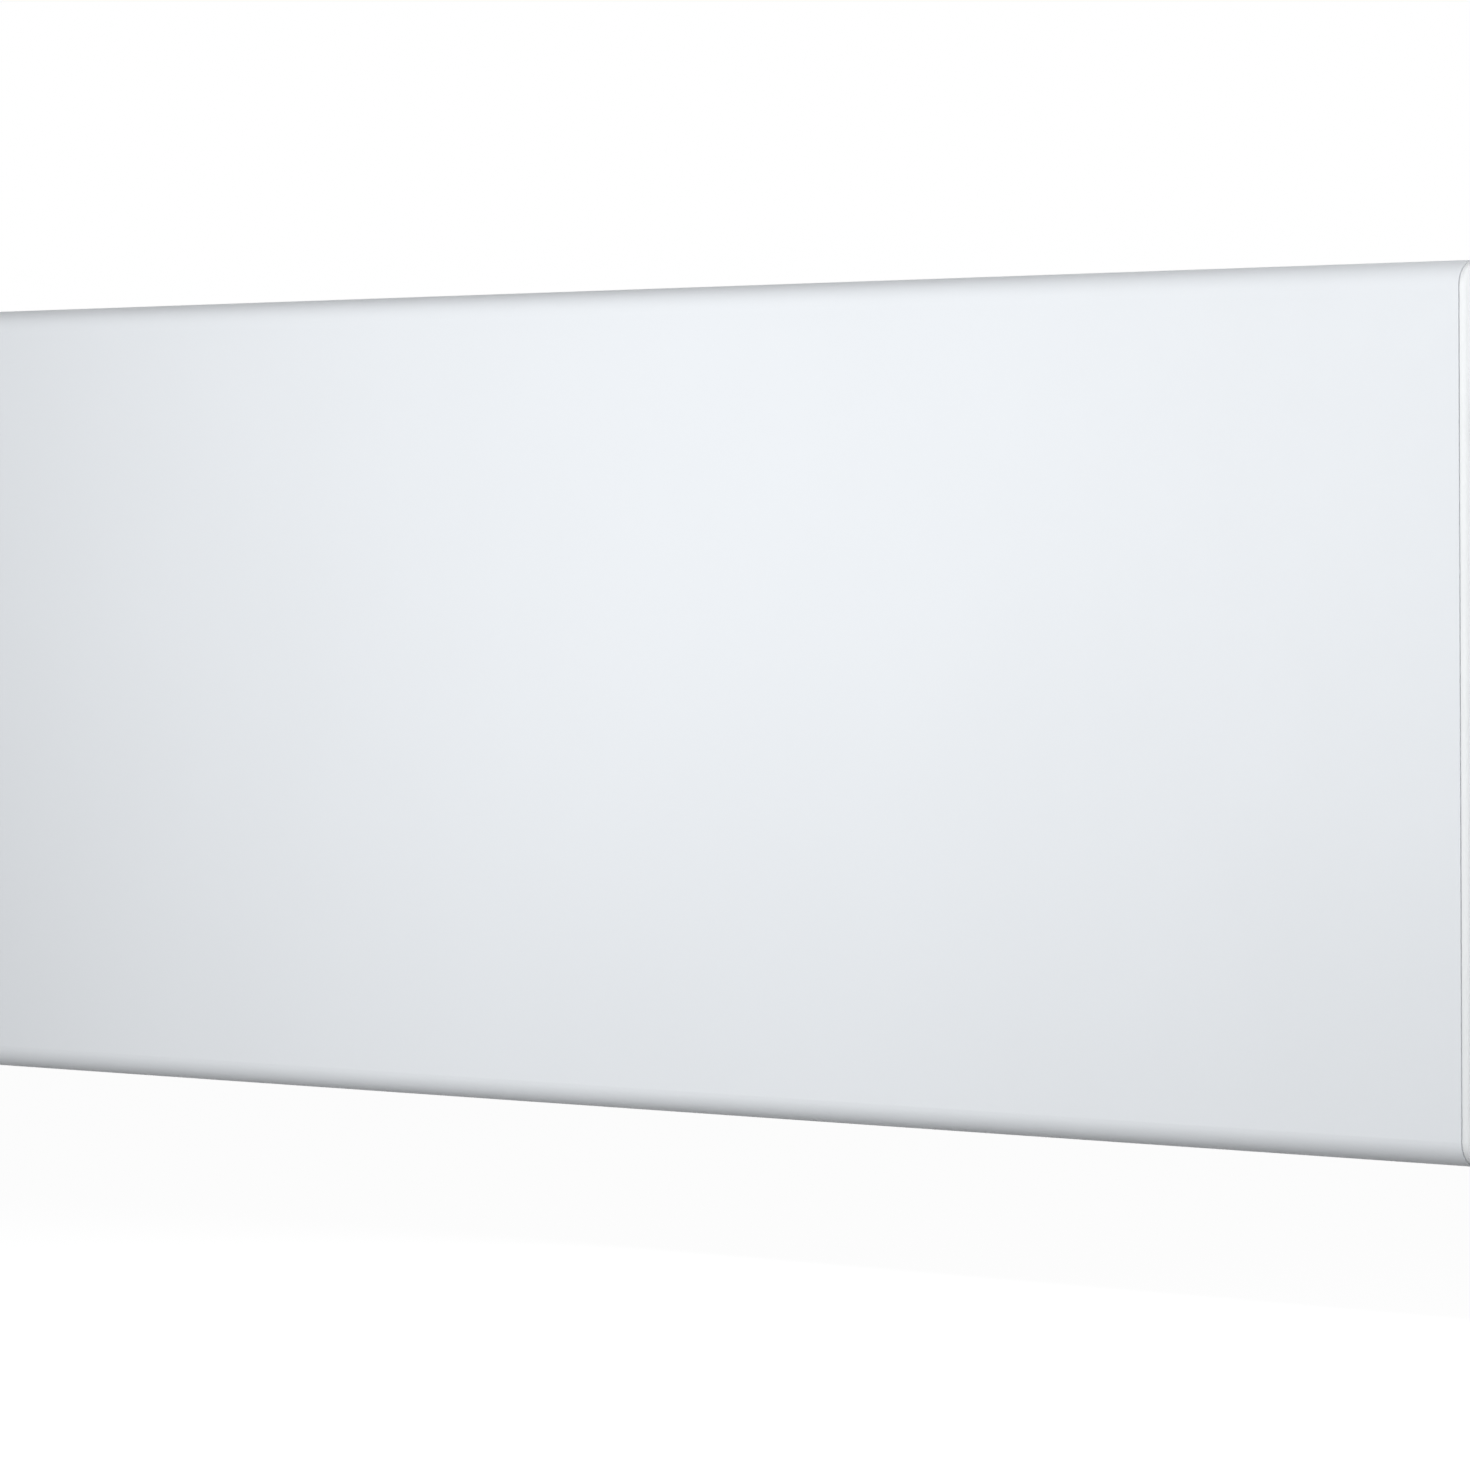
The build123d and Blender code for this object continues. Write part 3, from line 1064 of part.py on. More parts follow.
def board_connector():
    z = connector_height()
    half = 1.5 * CONNECTOR_PITCH + BOARD_SHEET / 2
    x = (BOARD_X - CONNECTOR_DEPTH, BOARD_X)
    tall = (z - CONNECTOR_HEIGHT / 2, z + CONNECTOR_HEIGHT / 2)
    body = block(x, (MIDDLE_Y - half, MIDDLE_Y + half), tall)
    hole = LEAD_RADIUS + LEAD_CLEARANCE
    ends = (x[0] - PAST, x[0] + CONNECTOR_HOLE_DEPTH)
    return body - [rod((ends[0], y, z), (ends[1], y, z), hole) for y in connector_ways()]


def indicator_led():
    foot = BOARD_X + BOARD_SHEET
    led = rod((foot, MIDDLE_Y, LAMP_Z), (foot + LED_LENGTH, MIDDLE_Y, LAMP_Z), LED_RADIUS)
    return fillet(led.edges().sort_by(Axis.X)[-1], 0.8 * LED_RADIUS)


def indicator_lens():
    """A clear light guide pressed in from behind, with a rounded end."""
    axis = (MIDDLE_Y, LAMP_Z)
    guide = rod((CAP_INNER - LAMP_TAIL, *axis), (END_FACE + LAMP_PROUD, *axis), LAMP_RADIUS)
    guide = fillet(guide.edges().sort_by(Axis.X)[-1], 0.9 * LAMP_PROUD)
    return guide + rod((CAP_INNER - LAMP_FLANGE, *axis), (CAP_INNER, *axis), LAMP_RADIUS + LAMP_FLANGE)


def potentiometer_body():
    foot = BOARD_X + BOARD_SHEET
    half = POT_SIZE / 2
    y, z = (MIDDLE_Y - half, MIDDLE_Y + half), (DIAL_Z - half, DIAL_Z + half)
    case = block((foot, foot + POT_DEPTH), y, z)
    case = chamfer(case.edges().filter_by(Axis.X), POT_CORNER)
    end = foot + POT_DEPTH + POT_BUSH_LENGTH
    case += rod((foot + POT_DEPTH, MIDDLE_Y, DIAL_Z), (end, MIDDLE_Y, DIAL_Z), POT_BUSH_RADIUS)
    ends = (foot + POT_FLOOR, MIDDLE_Y, DIAL_Z), (end + PAST, MIDDLE_Y, DIAL_Z)
    return case - rod(*ends, SHAFT_RADIUS + SHAFT_FIT)


def shaft_outline(grow):
    """The shaft's D section, with its flat at the top."""
    flat = SHAFT_FLAT + grow
    radius = SHAFT_RADIUS + grow
    outline = Circle(radius) & Pos(0, flat - radius) * Rectangle(2 * radius, 2 * radius)
    return Plane.YZ * Pos(MIDDLE_Y, DIAL_Z) * outline


def dial_shaft():
    start = BOARD_X + BOARD_SHEET + POT_FLOOR + SHAFT_END_GAP
    round_end = BOARD_X + BOARD_SHEET + POT_DEPTH + POT_BUSH_LENGTH + SHAFT_ROUND
    shaft = rod((start, MIDDLE_Y, DIAL_Z), (round_end, MIDDLE_Y, DIAL_Z), SHAFT_RADIUS)
    return shaft + slab(shaft_outline(0), (round_end, KNOB_X[1] - KNOB_WALL - 2 * SHAFT_END_GAP))


def dial_knob():
    """A hollow knob with a skirt, a gripped rim and a hub on the shaft's flat."""
    low, high = KNOB_X
    rim = DIAL_RADIUS - KNOB_RIM_INSET
    outer = Polyline(
        (low, 0),
        (low, DIAL_RADIUS),
        (low + KNOB_SKIRT / 2, DIAL_RADIUS),
        (low + KNOB_SKIRT, rim + POINTER_DEPTH),
        (low + KNOB_SKIRT, rim),
        (high - KNOB_CROWN_DEPTH, rim - KNOB_DRAFT),
        (high, rim - KNOB_CROWN),
        (high, 0),
        close=True,
    )
    knob = revolve(make_face(outer), Axis.X)
    groove_y = rim + GRIP_RADIUS - DIAL_GRIP_DEPTH
    groove = rod((low + KNOB_SKIRT, groove_y, 0), (high + PAST, groove_y, 0), GRIP_RADIUS)
    knob -= [Rot(360.0 / DIAL_GRIPS * i, 0, 0) * groove for i in range(DIAL_GRIPS)]
    bore = rim - KNOB_DRAFT - DIAL_GRIP_DEPTH - KNOB_WALL
    hollow = rod((low - PAST, 0, 0), (high - KNOB_WALL, 0, 0), bore)
    hollow -= rod((low, 0, 0), (high, 0, 0), HUB_RADIUS)
    width = (-POINTER_WIDTH / 2, POINTER_WIDTH / 2)
    pointer = block((high - POINTER_DEPTH, high + PAST), width, (HUB_RADIUS, DIAL_RADIUS))
    pointer += block((low + POINTER_DEPTH, high), width, (rim + POINTER_DEPTH + EPS, DIAL_RADIUS + PAST))
    shaft = slab(shaft_outline(SHAFT_FIT), (low - PAST, high - KNOB_WALL))
    knob = knob - hollow - Rot(DIAL_REST, 0, 0) * pointer - Pos(0, -MIDDLE_Y, -DIAL_Z) * shaft
    return Pos(0, MIDDLE_Y, DIAL_Z) * knob


def switch_body():
    """The power switch's housing: a bezel, a well for the rocker and two bearing holes."""
    wide, tall = SWITCH_WIDTH / 2, SWITCH_HEIGHT / 2
    y, z = (MIDDLE_Y - wide, MIDDLE_Y + wide), (SWITCH_Z - tall, SWITCH_Z + tall)
    body = block((END_FACE - SWITCH_DEPTH, END_FACE), y, z)
    rim = SWITCH_BEZEL
    bezel = block((END_FACE, BEZEL_FACE), (y[0] - rim, y[1] + rim), (z[0] - rim, z[1] + rim))
    bezel = fillet(bezel.edges().filter_by(Axis.X), SWITCH_CORNER)
    bezel = chamfer(bezel.faces().sort_by(Axis.X)[-1].edges(), 0.3 * SWITCH_BEZEL)
    wall = SWITCH_WALL
    deep = (END_FACE - ROCKER_ROOM, BEZEL_FACE + PAST)
    well = block(deep, (y[0] + wall, y[1] - wall), (z[0] + wall, z[1] - wall))
    pin = ROCKER_PIN + ROCKER_PIN_CLEARANCE
    holes = rod((PIVOT_X, y[0] - PAST, SWITCH_Z), (PIVOT_X, y[1] + PAST, SWITCH_Z), pin)
    return body + bezel - well - holes


def rocker():
    """The rocker, at rest with its lower half pressed in."""
    reach = SWITCH_HEIGHT / 2 - SWITCH_WALL - ROCKER_SIDE_GAP
    half = SWITCH_WIDTH / 2 - SWITCH_WALL - ROCKER_SIDE_GAP
    rise = 2 * reach * math.tan(math.radians(ROCKER_TILT + 1))
    outline = Polygon(
        (-ROCKER_ROOT, -reach),
        (ROCKER_CREST + rise, -2 * reach),
        (ROCKER_CREST, 0),
        (ROCKER_CREST + rise, 2 * reach),
        (-ROCKER_ROOT, reach),
        align=None,
    )
    key = extrude(Plane.XZ * (outline & Circle(reach)), amount=half, both=True)
    key += rod((0, -half - SWITCH_WALL, 0), (0, half + SWITCH_WALL, 0), ROCKER_PIN)
    return Pos(PIVOT_X, MIDDLE_Y, SWITCH_Z) * Rot(0, ROCKER_TILT, 0) * key


def switch_tab_heights():
    return (SWITCH_Z - SWITCH_TAB_OFFSET, SWITCH_Z + SWITCH_TAB_OFFSET)


def switch_tabs():
    x = (END_FACE - SWITCH_DEPTH - TAB_LENGTH, END_FACE - SWITCH_DEPTH)
    y = (MIDDLE_Y - TAB_WIDTH / 2, MIDDLE_Y + TAB_WIDTH / 2)
    return [block(x, y, (z - TAB_THICKNESS / 2, z + TAB_THICKNESS / 2)) for z in switch_tab_heights()]


def probe_axis():
    return CAP_INNER - SENSOR_FROM_WALL


def clip_base():
    return vent_heights()[-1] + VENT_WIDTH / 2 + CLIP_ABOVE_VENTS


def probe_top():
    return clip_base() + CLIP_HEIGHT + PROBE_PROUD


def sensor_probe():
    x, z = probe_axis(), probe_top()
    probe = rod((x, MIDDLE_Y, z - SENSOR_LENGTH), (x, MIDDLE_Y, z), SENSOR_RADIUS)
    return fillet(probe.edges().sort_by(Axis.Z)[0], SENSOR_RADIUS * 0.9)


def sensor_clip():
    """A spring clip on the cap's inner face that grips the probe."""
    bore = SENSOR_RADIUS + CLIP_CLEARANCE
    ring = Circle(bore + CLIP_WALL)
    ring += Pos(SENSOR_FROM_WALL / 2, 0) * Rectangle(SENSOR_FROM_WALL, CLIP_STEM)
    ring += Pos(SENSOR_FROM_WALL - CLIP_BASE[0] / 2, 0) * Rectangle(*CLIP_BASE)
    ring -= Circle(bore)
    ring -= Pos(-bore, 0) * Rectangle(2 * bore, CLIP_MOUTH)
    return Pos(probe_axis(), MIDDLE_Y, clip_base()) * extrude(ring, amount=CLIP_HEIGHT)


def lead(points, radius=LEAD_BEND):
    """An insulated lead along straight runs, rounded where they meet."""
    path = FilletPolyline(*points, radius=radius)
    start = Plane(origin=path @ 0, z_dir=path % 0)
    return sweep(start * Circle(LEAD_RADIUS), path=path)


def pole_entry(index):
    """Where a lead starts, inside its pole's upper end."""
    return (pole_places()[index], SLEEVE_Y, TERMINAL_Z + TERMINAL_HEIGHT / 2 - POLE_SCREW_FROM_END)


def stud_end(z):
    return (BULKHEAD_R + BULKHEAD_SHEET + ROD_TAIL + SEAL_LENGTH + STUD_LENGTH, ELEMENT_Y, z)


def connector_way(index):
    return (BOARD_X - CONNECTOR_DEPTH / 2, connector_ways()[index], connector_height())


def live_lead():
    """From the terminal block to the switch's lower tab."""
    start = pole_entry(2)
    end = (END_FACE - SWITCH_DEPTH - TAB_LENGTH, MIDDLE_Y, switch_tab_heights()[0])
    return lead([start, (start[0], start[1], end[2] - 50.0), (start[0], end[1], end[2]), end], radius=9.0)


def switched_lead():
    """From the switch's upper tab to the control board."""
    start = (END_FACE - SWITCH_DEPTH - TAB_LENGTH, MIDDLE_Y, switch_tab_heights()[1])
    end = connector_way(1)
    turn = BOARD_X - CONNECTOR_DEPTH - 2.0 * LEAD_BEND
    return lead([start, (turn, MIDDLE_Y, start[2]), (turn, end[1], end[2]), end])


def control_lead():
    """From the control board to the thermal cut-out."""
    start = connector_way(2)
    tab = cutout_tab_places()[0]
    end = (BULKHEAD_R + BULKHEAD_SHEET + CUTOUT_DEPTH + TAB_LENGTH, tab, CUTOUT_Z)
    turn = end[0] + 1.5 * LEAD_BEND
    return lead([start, (turn, start[1], start[2]), (turn, tab, CUTOUT_Z), end])


def heating_lead():
    """From the thermal cut-out to the upper end of the heating rod."""
    tab = cutout_tab_places()[1]
    start = (BULKHEAD_R + BULKHEAD_SHEET + CUTOUT_DEPTH + TAB_LENGTH, tab, CUTOUT_Z)
    end = stud_end(rod_heights()[0])
    turn = end[0] + 1.2 * LEAD_BEND
    return lead([start, (turn, tab, CUTOUT_Z), (turn, ELEMENT_Y, end[2]), end])


def neutral_lead():
    """From the terminal block to the lower end of the heating rod."""
    start = pole_entry(1)
    end = stud_end(rod_heights()[1])
    turn = end[0] + 1.8 * LEAD_BEND
    rise = start[2] + 2.2 * LEAD_BEND
    return lead([start, (start[0], start[1], rise), (turn, ELEMENT_Y, end[2]), end], radius=4.5)


def earth_lead():
    """From the terminal block to a ring lug under the earth screw."""
    start = pole_entry(0)
    face = BULKHEAD_R + BULKHEAD_SHEET
    x = face + LEAD_RADIUS
    top = EARTH_Z + 22.0
    end = (x, EARTH_Y, EARTH_Z + 2 * LUG_NECK)
    wire = lead([start, (start[0], start[1], top), (x, EARTH_Y, top), end], radius=6.0)
    lug = Circle(LUG_RADIUS) + Pos(0, 1.5 * LUG_NECK) * Rectangle(LUG_NECK, 2.5 * LUG_NECK)
    lug -= Circle(SCREW_RADIUS + SCREW_CLEARANCE)
    lug = Plane.YZ * Pos(EARTH_Y, EARTH_Z) * lug
    return wire + slab(lug, (face, face + TAB_THICKNESS))


def sensor_lead():
    """From the probe, past the switch, to the control board."""
    start = (probe_axis(), MIDDLE_Y, probe_top())
    end = connector_way(0)
    x, y = SKIRT_END - 4.0, MIDDLE_Y - SWITCH_WIDTH
    turn = BOARD_X - CONNECTOR_DEPTH - 1.5 * LEAD_BEND
    points = [
        start,
        (start[0], start[1], start[2] + 12.0),
        (x, y, start[2] + 40.0),
        (x, y, end[2] - 50.0),
        (turn, end[1], end[2] - 12.0),
        (turn, end[1], end[2]),
        end,
    ]
    return lead(points, radius=5.0)


def save(name, shape):
    pieces = shape if isinstance(shape, list) else [shape]
    solids = [s for piece in pieces for s in piece.solids()]
    whole = solids[0] if len(solids) == 1 else Compound(children=solids)
    export_step(whole, f"parts/{name}.step")


def nodes():
    yield "front_panel", front_panel()
    yield "rear_panel", rear_panel()
    yield "outlet_grille", grille(TOP - SHEET - GRILLE_SHEET)
    yield "inlet_grille", grille(BOTTOM + SHEET)
    yield "end_cap_left", end_cap_left()
    yield "end_cap_right", end_cap_right()
    yield "bulkhead_left", bulkhead_left()
    yield "bulkhead_right", bulkhead_right()
    yield "heat_shield", heat_shield()
    yield "element_profile", element_profile()
    yield "element_rod", element_rod()
    yield "element_terminals", element_terminals()
    yield "element_bush_upper", element_bush(rod_heights()[0])
    yield "element_bush_lower", element_bush(rod_heights()[1])
    yield "element_carrier", element_carrier()
    yield "casing_screws", casing_screws()
    yield "cap_screws", cap_screws()
    yield "casing_rivets", casing_rivets()
    yield "bracket_upright_left", upright(-UPRIGHT_X)
    yield "bracket_upright_right", upright(UPRIGHT_X)
    yield "bracket_rail_upper", rail(RAIL_Z)
    yield "bracket_rail_lower", rail(-RAIL_Z)
    yield "bracket_rivets", bracket_rivets()
    yield "hanger_left", hanger(-UPRIGHT_X)
    yield "hanger_right", hanger(UPRIGHT_X)
    yield "hanger_pin_left", hanger_pin(-UPRIGHT_X)
    yield "hanger_pin_right", hanger_pin(UPRIGHT_X)
    yield "wall_bumper_left", bumper(-UPRIGHT_X)
    yield "wall_bumper_right", bumper(UPRIGHT_X)
    yield "cord_grommet", cord_grommet()
    yield "terminal_block", terminal_block()
    yield "terminal_sleeves", terminal_sleeves()
    yield "terminal_screws", terminal_screws()
    yield "terminal_mount_screws", terminal_mount_screws()
    yield "earth_screw", earth_screw()
    yield "thermal_cutout", thermal_cutout()
    yield "control_board", control_board()
    yield "board_screws", board_screws()
    yield "board_relay", board_relay()
    yield "board_capacitors", board_capacitors()
    yield "board_connector", board_connector()
    yield "indicator_led", indicator_led()
    yield "indicator_lens", indicator_lens()
    yield "potentiometer_body", potentiometer_body()
    yield "dial_shaft", dial_shaft()
    yield "dial_knob", dial_knob()
    yield "switch_body", switch_body()
    yield "switch_tabs", switch_tabs()
    yield "rocker", rocker()
    yield "sensor_probe", sensor_probe()
    yield "sensor_clip", sensor_clip()
    yield "live_lead", live_lead()
    yield "switched_lead", switched_lead()
    yield "control_lead", control_lead()
    yield "heating_lead", heating_lead()
    yield "neutral_lead", neutral_lead()
    yield "earth_lead", earth_lead()
    yield "sensor_lead", sensor_lead()


os.makedirs("parts", exist_ok=True)
for node, shape in nodes():
    save(node, shape)
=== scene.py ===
import json
import math
import bmesh
import bpy
from mathutils import Matrix, Vector

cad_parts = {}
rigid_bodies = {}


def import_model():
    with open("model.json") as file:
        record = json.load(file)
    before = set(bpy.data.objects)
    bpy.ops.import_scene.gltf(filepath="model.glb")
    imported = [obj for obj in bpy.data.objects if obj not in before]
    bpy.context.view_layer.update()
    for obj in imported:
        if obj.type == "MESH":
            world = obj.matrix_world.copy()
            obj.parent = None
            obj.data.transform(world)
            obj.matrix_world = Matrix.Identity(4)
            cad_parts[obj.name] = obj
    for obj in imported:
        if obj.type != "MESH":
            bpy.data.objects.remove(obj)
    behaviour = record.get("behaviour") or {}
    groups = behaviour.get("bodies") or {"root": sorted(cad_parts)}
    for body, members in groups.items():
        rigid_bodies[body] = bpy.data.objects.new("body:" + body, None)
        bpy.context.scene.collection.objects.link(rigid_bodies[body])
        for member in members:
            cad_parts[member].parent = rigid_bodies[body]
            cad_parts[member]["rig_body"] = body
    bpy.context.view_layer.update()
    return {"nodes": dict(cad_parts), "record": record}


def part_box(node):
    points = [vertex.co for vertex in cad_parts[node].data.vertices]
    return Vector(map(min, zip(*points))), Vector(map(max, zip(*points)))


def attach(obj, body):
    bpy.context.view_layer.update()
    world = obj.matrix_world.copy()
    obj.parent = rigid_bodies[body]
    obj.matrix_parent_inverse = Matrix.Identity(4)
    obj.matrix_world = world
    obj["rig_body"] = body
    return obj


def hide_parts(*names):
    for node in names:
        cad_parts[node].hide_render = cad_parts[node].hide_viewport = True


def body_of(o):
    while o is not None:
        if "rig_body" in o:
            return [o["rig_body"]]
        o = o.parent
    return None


# A wall-hung electric panel heater. Everything is in metres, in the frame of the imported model:
# X along the heater, +Y towards the wall, +Z up.

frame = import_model()
scene = bpy.context.scene
MM = 0.001

# Camera, as the photograph was taken. Pixels are those of its 1470 x 1471 frame.
PHOTO_LONG_SIDE = 1471
FOCAL_PIXELS = 7500
SENSOR = 36.0
CAMERA_PLACE = (2.3761, -2.5028, 0.0830)
CAMERA_YAW = 43.374
CAMERA_PITCH = -1.682
CAMERA_ROLL = -0.368

# Lamps: name, place, what each points at, width and height, power
LAMPS = (
    ("key", (-0.029, -1.001, 0.193), (-0.102, -0.084, 0.162), (0.9, 0.7), 8.90),
    ("side", (1.012, -0.234, 0.211), (0.50, -0.05, 0.0), (1.1, 1.0), 5.67),
    ("rear", (0.0, 1.35, 0.50), (0.0, 0.0, 0.05), (3.4, 1.9), 30.0),
    ("left", (-1.45, 0.15, 0.25), (-0.50, -0.05, 0.0), (1.4, 1.3), 9.5),
)
LAMP_COLOUR = (0.985, 0.995, 1.0)
AMBIENT = 0.030
AMBIENT_COLOUR = (0.98, 0.99, 1.0)
FLOOR_Z = -0.485
FLOOR_REACH = 7.0
FLOOR_COLOUR = 0.20
FLOOR_WHITE = 0.965         # floor's own light, for the camera and reflections alone

# Right end and its dial, as in the model
RIGHT_FACE = 499.6 * MM     # end face inside the cap's border
AXIS_Y = -54.0 * MM         # middle of the casing's depth
DIAL_Z = 123.0 * MM
DIAL_RADIUS = 19.0 * MM
DIAL_REST = 135.0           # pointer's angle from the top, towards the front
DIAL_TRAVEL = 270.0
KNOB_BACK = 500.1 * MM
KNOB_FACE = 513.1 * MM
KNOB_RIM = 16.4 * MM        # radius of its gripped rim at the skirt
KNOB_RIM_DRAFT = 0.09 * MM  # its taper from one ring of points to the next
KNOB_WALL = 1.8 * MM
KNOB_INSIDE = 11.7 * MM
HUB_RADIUS = 5.5 * MM
SHAFT_RADIUS = 3.05 * MM
GRIPS = 20
GRIP_STEPS = 20             # points round each grip's pitch
GRIP_RADIUS = 1.5 * MM
GRIP_FLOOR = 15.4 * MM      # radius of the grips' hollows
GRIP_START = 2.6 * MM       # height of the skirt that has no grips
GROOVE_START = 5.5 * MM
GROOVE_WIDTH = 1.4 * MM
GROOVE_LENGTH = 15.0 * MM
GROOVE_DEPTH = 0.6 * MM
POINTER_START = 6.2 * MM
POINTER_WIDTH = 1.1 * MM
POINTER_LENGTH = 7.0 * MM
POINTER_DEPTH = 0.52 * MM
POINTER_THICKNESS = 0.08 * MM

# Pan-head screws
SCREW_HEAD = 2.2 * MM
SCREW_HEAD_RADIUS = 3.4 * MM
SCREW_LENGTH = 8.0 * MM
SCREW_POINT = 0.9 * MM
SCREW_CORE = 1.35 * MM
SCREW_CREST = 1.68 * MM
SCREW_PITCH = 0.8 * MM
SCREW_TURN = 37             # degrees from one screw's recess to the next one's
CROSS_REACH = 2.0 * MM
CROSS_WIDTH = 0.42 * MM
CROSS_DEPTH = 1.3 * MM
CROSS_TAPER = 0.55          # size of its floor against its mouth

# Blind rivets
RIVET_HEAD = 1.2 * MM
RIVET_HEAD_RADIUS = 3.5 * MM
RIVET_RADIUS = 2.0 * MM
RIVET_BULGE = 0.9 * MM      # how far the tail stands out from the rivet

# Marks printed on the end face and on the rocker
DIAL_STEPS = 6
TICK_START = 20.4 * MM
TICK_LONG = 1.7 * MM
TICK_SHORT = 1.0 * MM
TICK_WIDTH = 0.35 * MM
NUMBER_RADIUS = 24.4 * MM
NUMBER_SIZE = 3.9 * MM
PRINT_THICKNESS = 0.04 * MM
STROKE_WIDTH = 0.6 * MM
STROKE_LENGTH = 3.2 * MM
RING_INNER = 1.15 * MM
RING_OUTER = 1.65 * MM

# Radius at which edges seem to catch the light
PAINT_EDGE = 0.35 * MM
BARE_EDGE = 0.25 * MM

# Zinc spangle
SPANGLE = 125.0             # grains to a metre
SPANGLE_RAGGED = 90.0       # waves of their edges to a metre
SPANGLE_PUSH = 0.012        # how far those waves reach, in metres

# Meshes
SAME_POINT = 1e-6           # points nearer than this are one
LEAST_FACE = 1e-7           # area, in square metres, of the smallest face that counts
CREASE = 35                 # degrees between faces that meet in a sharp edge
FASTENER_CREASE = 40
KNOB_CREASE = 50


def make_camera():
    """Yaw turns from +Y towards -X. A negative pitch looks down."""
    yaw, pitch, roll = (math.radians(a) for a in (CAMERA_YAW, CAMERA_PITCH, CAMERA_ROLL))
    turn = Matrix.Rotation(yaw, 3, "Z") @ Matrix.Rotation(math.pi / 2 + pitch, 3, "X")
    turn = turn @ Matrix.Rotation(roll, 3, "Z")
    data = bpy.data.cameras.new("camera")
    data.sensor_width = SENSOR
    data.lens = FOCAL_PIXELS * SENSOR / PHOTO_LONG_SIDE
    camera = bpy.data.objects.new("camera", data)
    camera.matrix_world = Matrix.Translation(CAMERA_PLACE) @ turn.to_4x4()
    scene.collection.objects.link(camera)
    scene.camera = camera


# Materials


def add_node(tree, kind, inputs=(), **settings):
    """A node, with its settings and inputs. An input is a number or another node's output."""
    node = tree.nodes.new("ShaderNode" + kind)
    for key, value in settings.items():
        setattr(node, key, value)
    for key, value in dict(inputs).items():
        if isinstance(value, bpy.types.NodeSocket):
            tree.links.new(value, node.inputs[key])
        else:
            node.inputs[key].default_value = value
    return node


class Finish:
    """A material, built up node by node. Its patterns are laid out in metres."""

    def __init__(self, name, colour, roughness, metallic=0.0):
        self.material = bpy.data.materials.new(name)
        self.material.use_nodes = True
        self.tree = self.material.node_tree
        self.shader = self.tree.nodes["Principled BSDF"]
        self.colour = Vector(colour)
        self.set("Base Color", (*colour, 1.0))
        self.set("Roughness", roughness)
        self.set("Metallic", metallic)
        self.normal = None

    def set(self, socket, value):
        self.shader.inputs[socket].default_value = value

    def add(self, kind, inputs=(), **settings):
        return add_node(self.tree, kind, inputs, **settings)

    def place(self, stretch=(1, 1, 1), turn=(0, 0, 0)):
        """Where a point lies on the object, stretched and turned for a pattern."""
        coords = self.add("TexCoord").outputs["Object"]
        angles = tuple(math.radians(a) for a in turn)
        return self.add("Mapping", {"Vector": coords, "Scale": stretch, "Rotation": angles}).outputs[0]

    def noise(self, per_metre, detail=2.0, stretch=(1, 1, 1)):
        inputs = {"Vector": self.place(stretch), "Scale": per_metre, "Detail": detail}
        return self.add("TexNoise", inputs).outputs[0]

    def cells(self, per_metre):
        """How far a point is from the middle of its cell."""
        inputs = {"Vector": self.place(), "Scale": per_metre}
        return self.add("TexVoronoi", inputs).outputs["Distance"]

    def grey(self, colour):
        return self.add("RGBToBW", {"Color": colour}).outputs[0]

    def remap(self, value, start, end, low, high):
        """The value's range from start to end becomes low to high, and stays inside it."""
        inputs = {"Value": value, "From Min": start, "From Max": end, "To Min": low, "To Max": high}
        return self.add("MapRange", inputs).outputs[0]

    def blend(self, value, first, second):
        """A colour that runs from the first to the second as the value runs from 0 to 1."""
        node = self.add("Mix", data_type="RGBA")
        self.tree.links.new(value, node.inputs[0])
        for socket, colour in ((6, first), (7, second)):
            if isinstance(colour, bpy.types.NodeSocket):
                self.tree.links.new(colour, node.inputs[socket])
            else:
                node.inputs[socket].default_value = (*colour, 1.0)
        return node.outputs[2]

    def tint(self, value, amount, start=0.3, end=0.7):
        """Makes the colour darker and lighter by the amount either way."""
        value = self.remap(value, start, end, 0.0, 1.0)
        shade = self.blend(value, self.colour * (1 - amount), self.colour * (1 + amount))
        self.colour_from(shade)

    def colour_from(self, colour):
        """The base colour comes from a pattern."""
        self.tree.links.new(colour, self.shader.inputs["Base Color"])

    def gloss(self, value, low, high, start=0.3, end=0.7):
        """The roughness runs from low to high as the value runs from start to end."""
        rough = self.remap(value, start, end, low, high)
        self.tree.links.new(rough, self.shader.inputs["Roughness"])

    def round_edges(self, radius):
        """Edges catch the light as if they had this radius."""
        node = self.add("Bevel", {"Radius": radius}, samples=4)
        self.normal = node.outputs[0]
        self.tree.links.new(self.normal, self.shader.inputs["Normal"])

    def bump(self, value, depth):
        """Relief of that depth, in metres, on top of what is there already."""
        node = self.add("Bump", {"Height": value, "Distance": depth, "Strength": 1.0})
        if self.normal:
            self.tree.links.new(self.normal, node.inputs["Normal"])
        self.normal = node.outputs[0]
        self.tree.links.new(self.normal, self.shader.inputs["Normal"])


def powder_coat(name, colour):
    """Baked powder coat: a faint orange peel and the smallest specks."""
    made = Finish(name, colour, 0.55)
    made.set("Specular IOR Level", 0.3)
    made.round_edges(PAINT_EDGE)
    made.tint(made.noise(7), 0.006)
    made.gloss(made.noise(60, detail=3), 0.53, 0.59)
    made.bump(made.noise(230), 0.006 * MM)
    specks = made.remap(made.cells(420), 0.0, 0.055, 1.0, 0.0)
    made.bump(specks, 0.004 * MM)
    return made.material


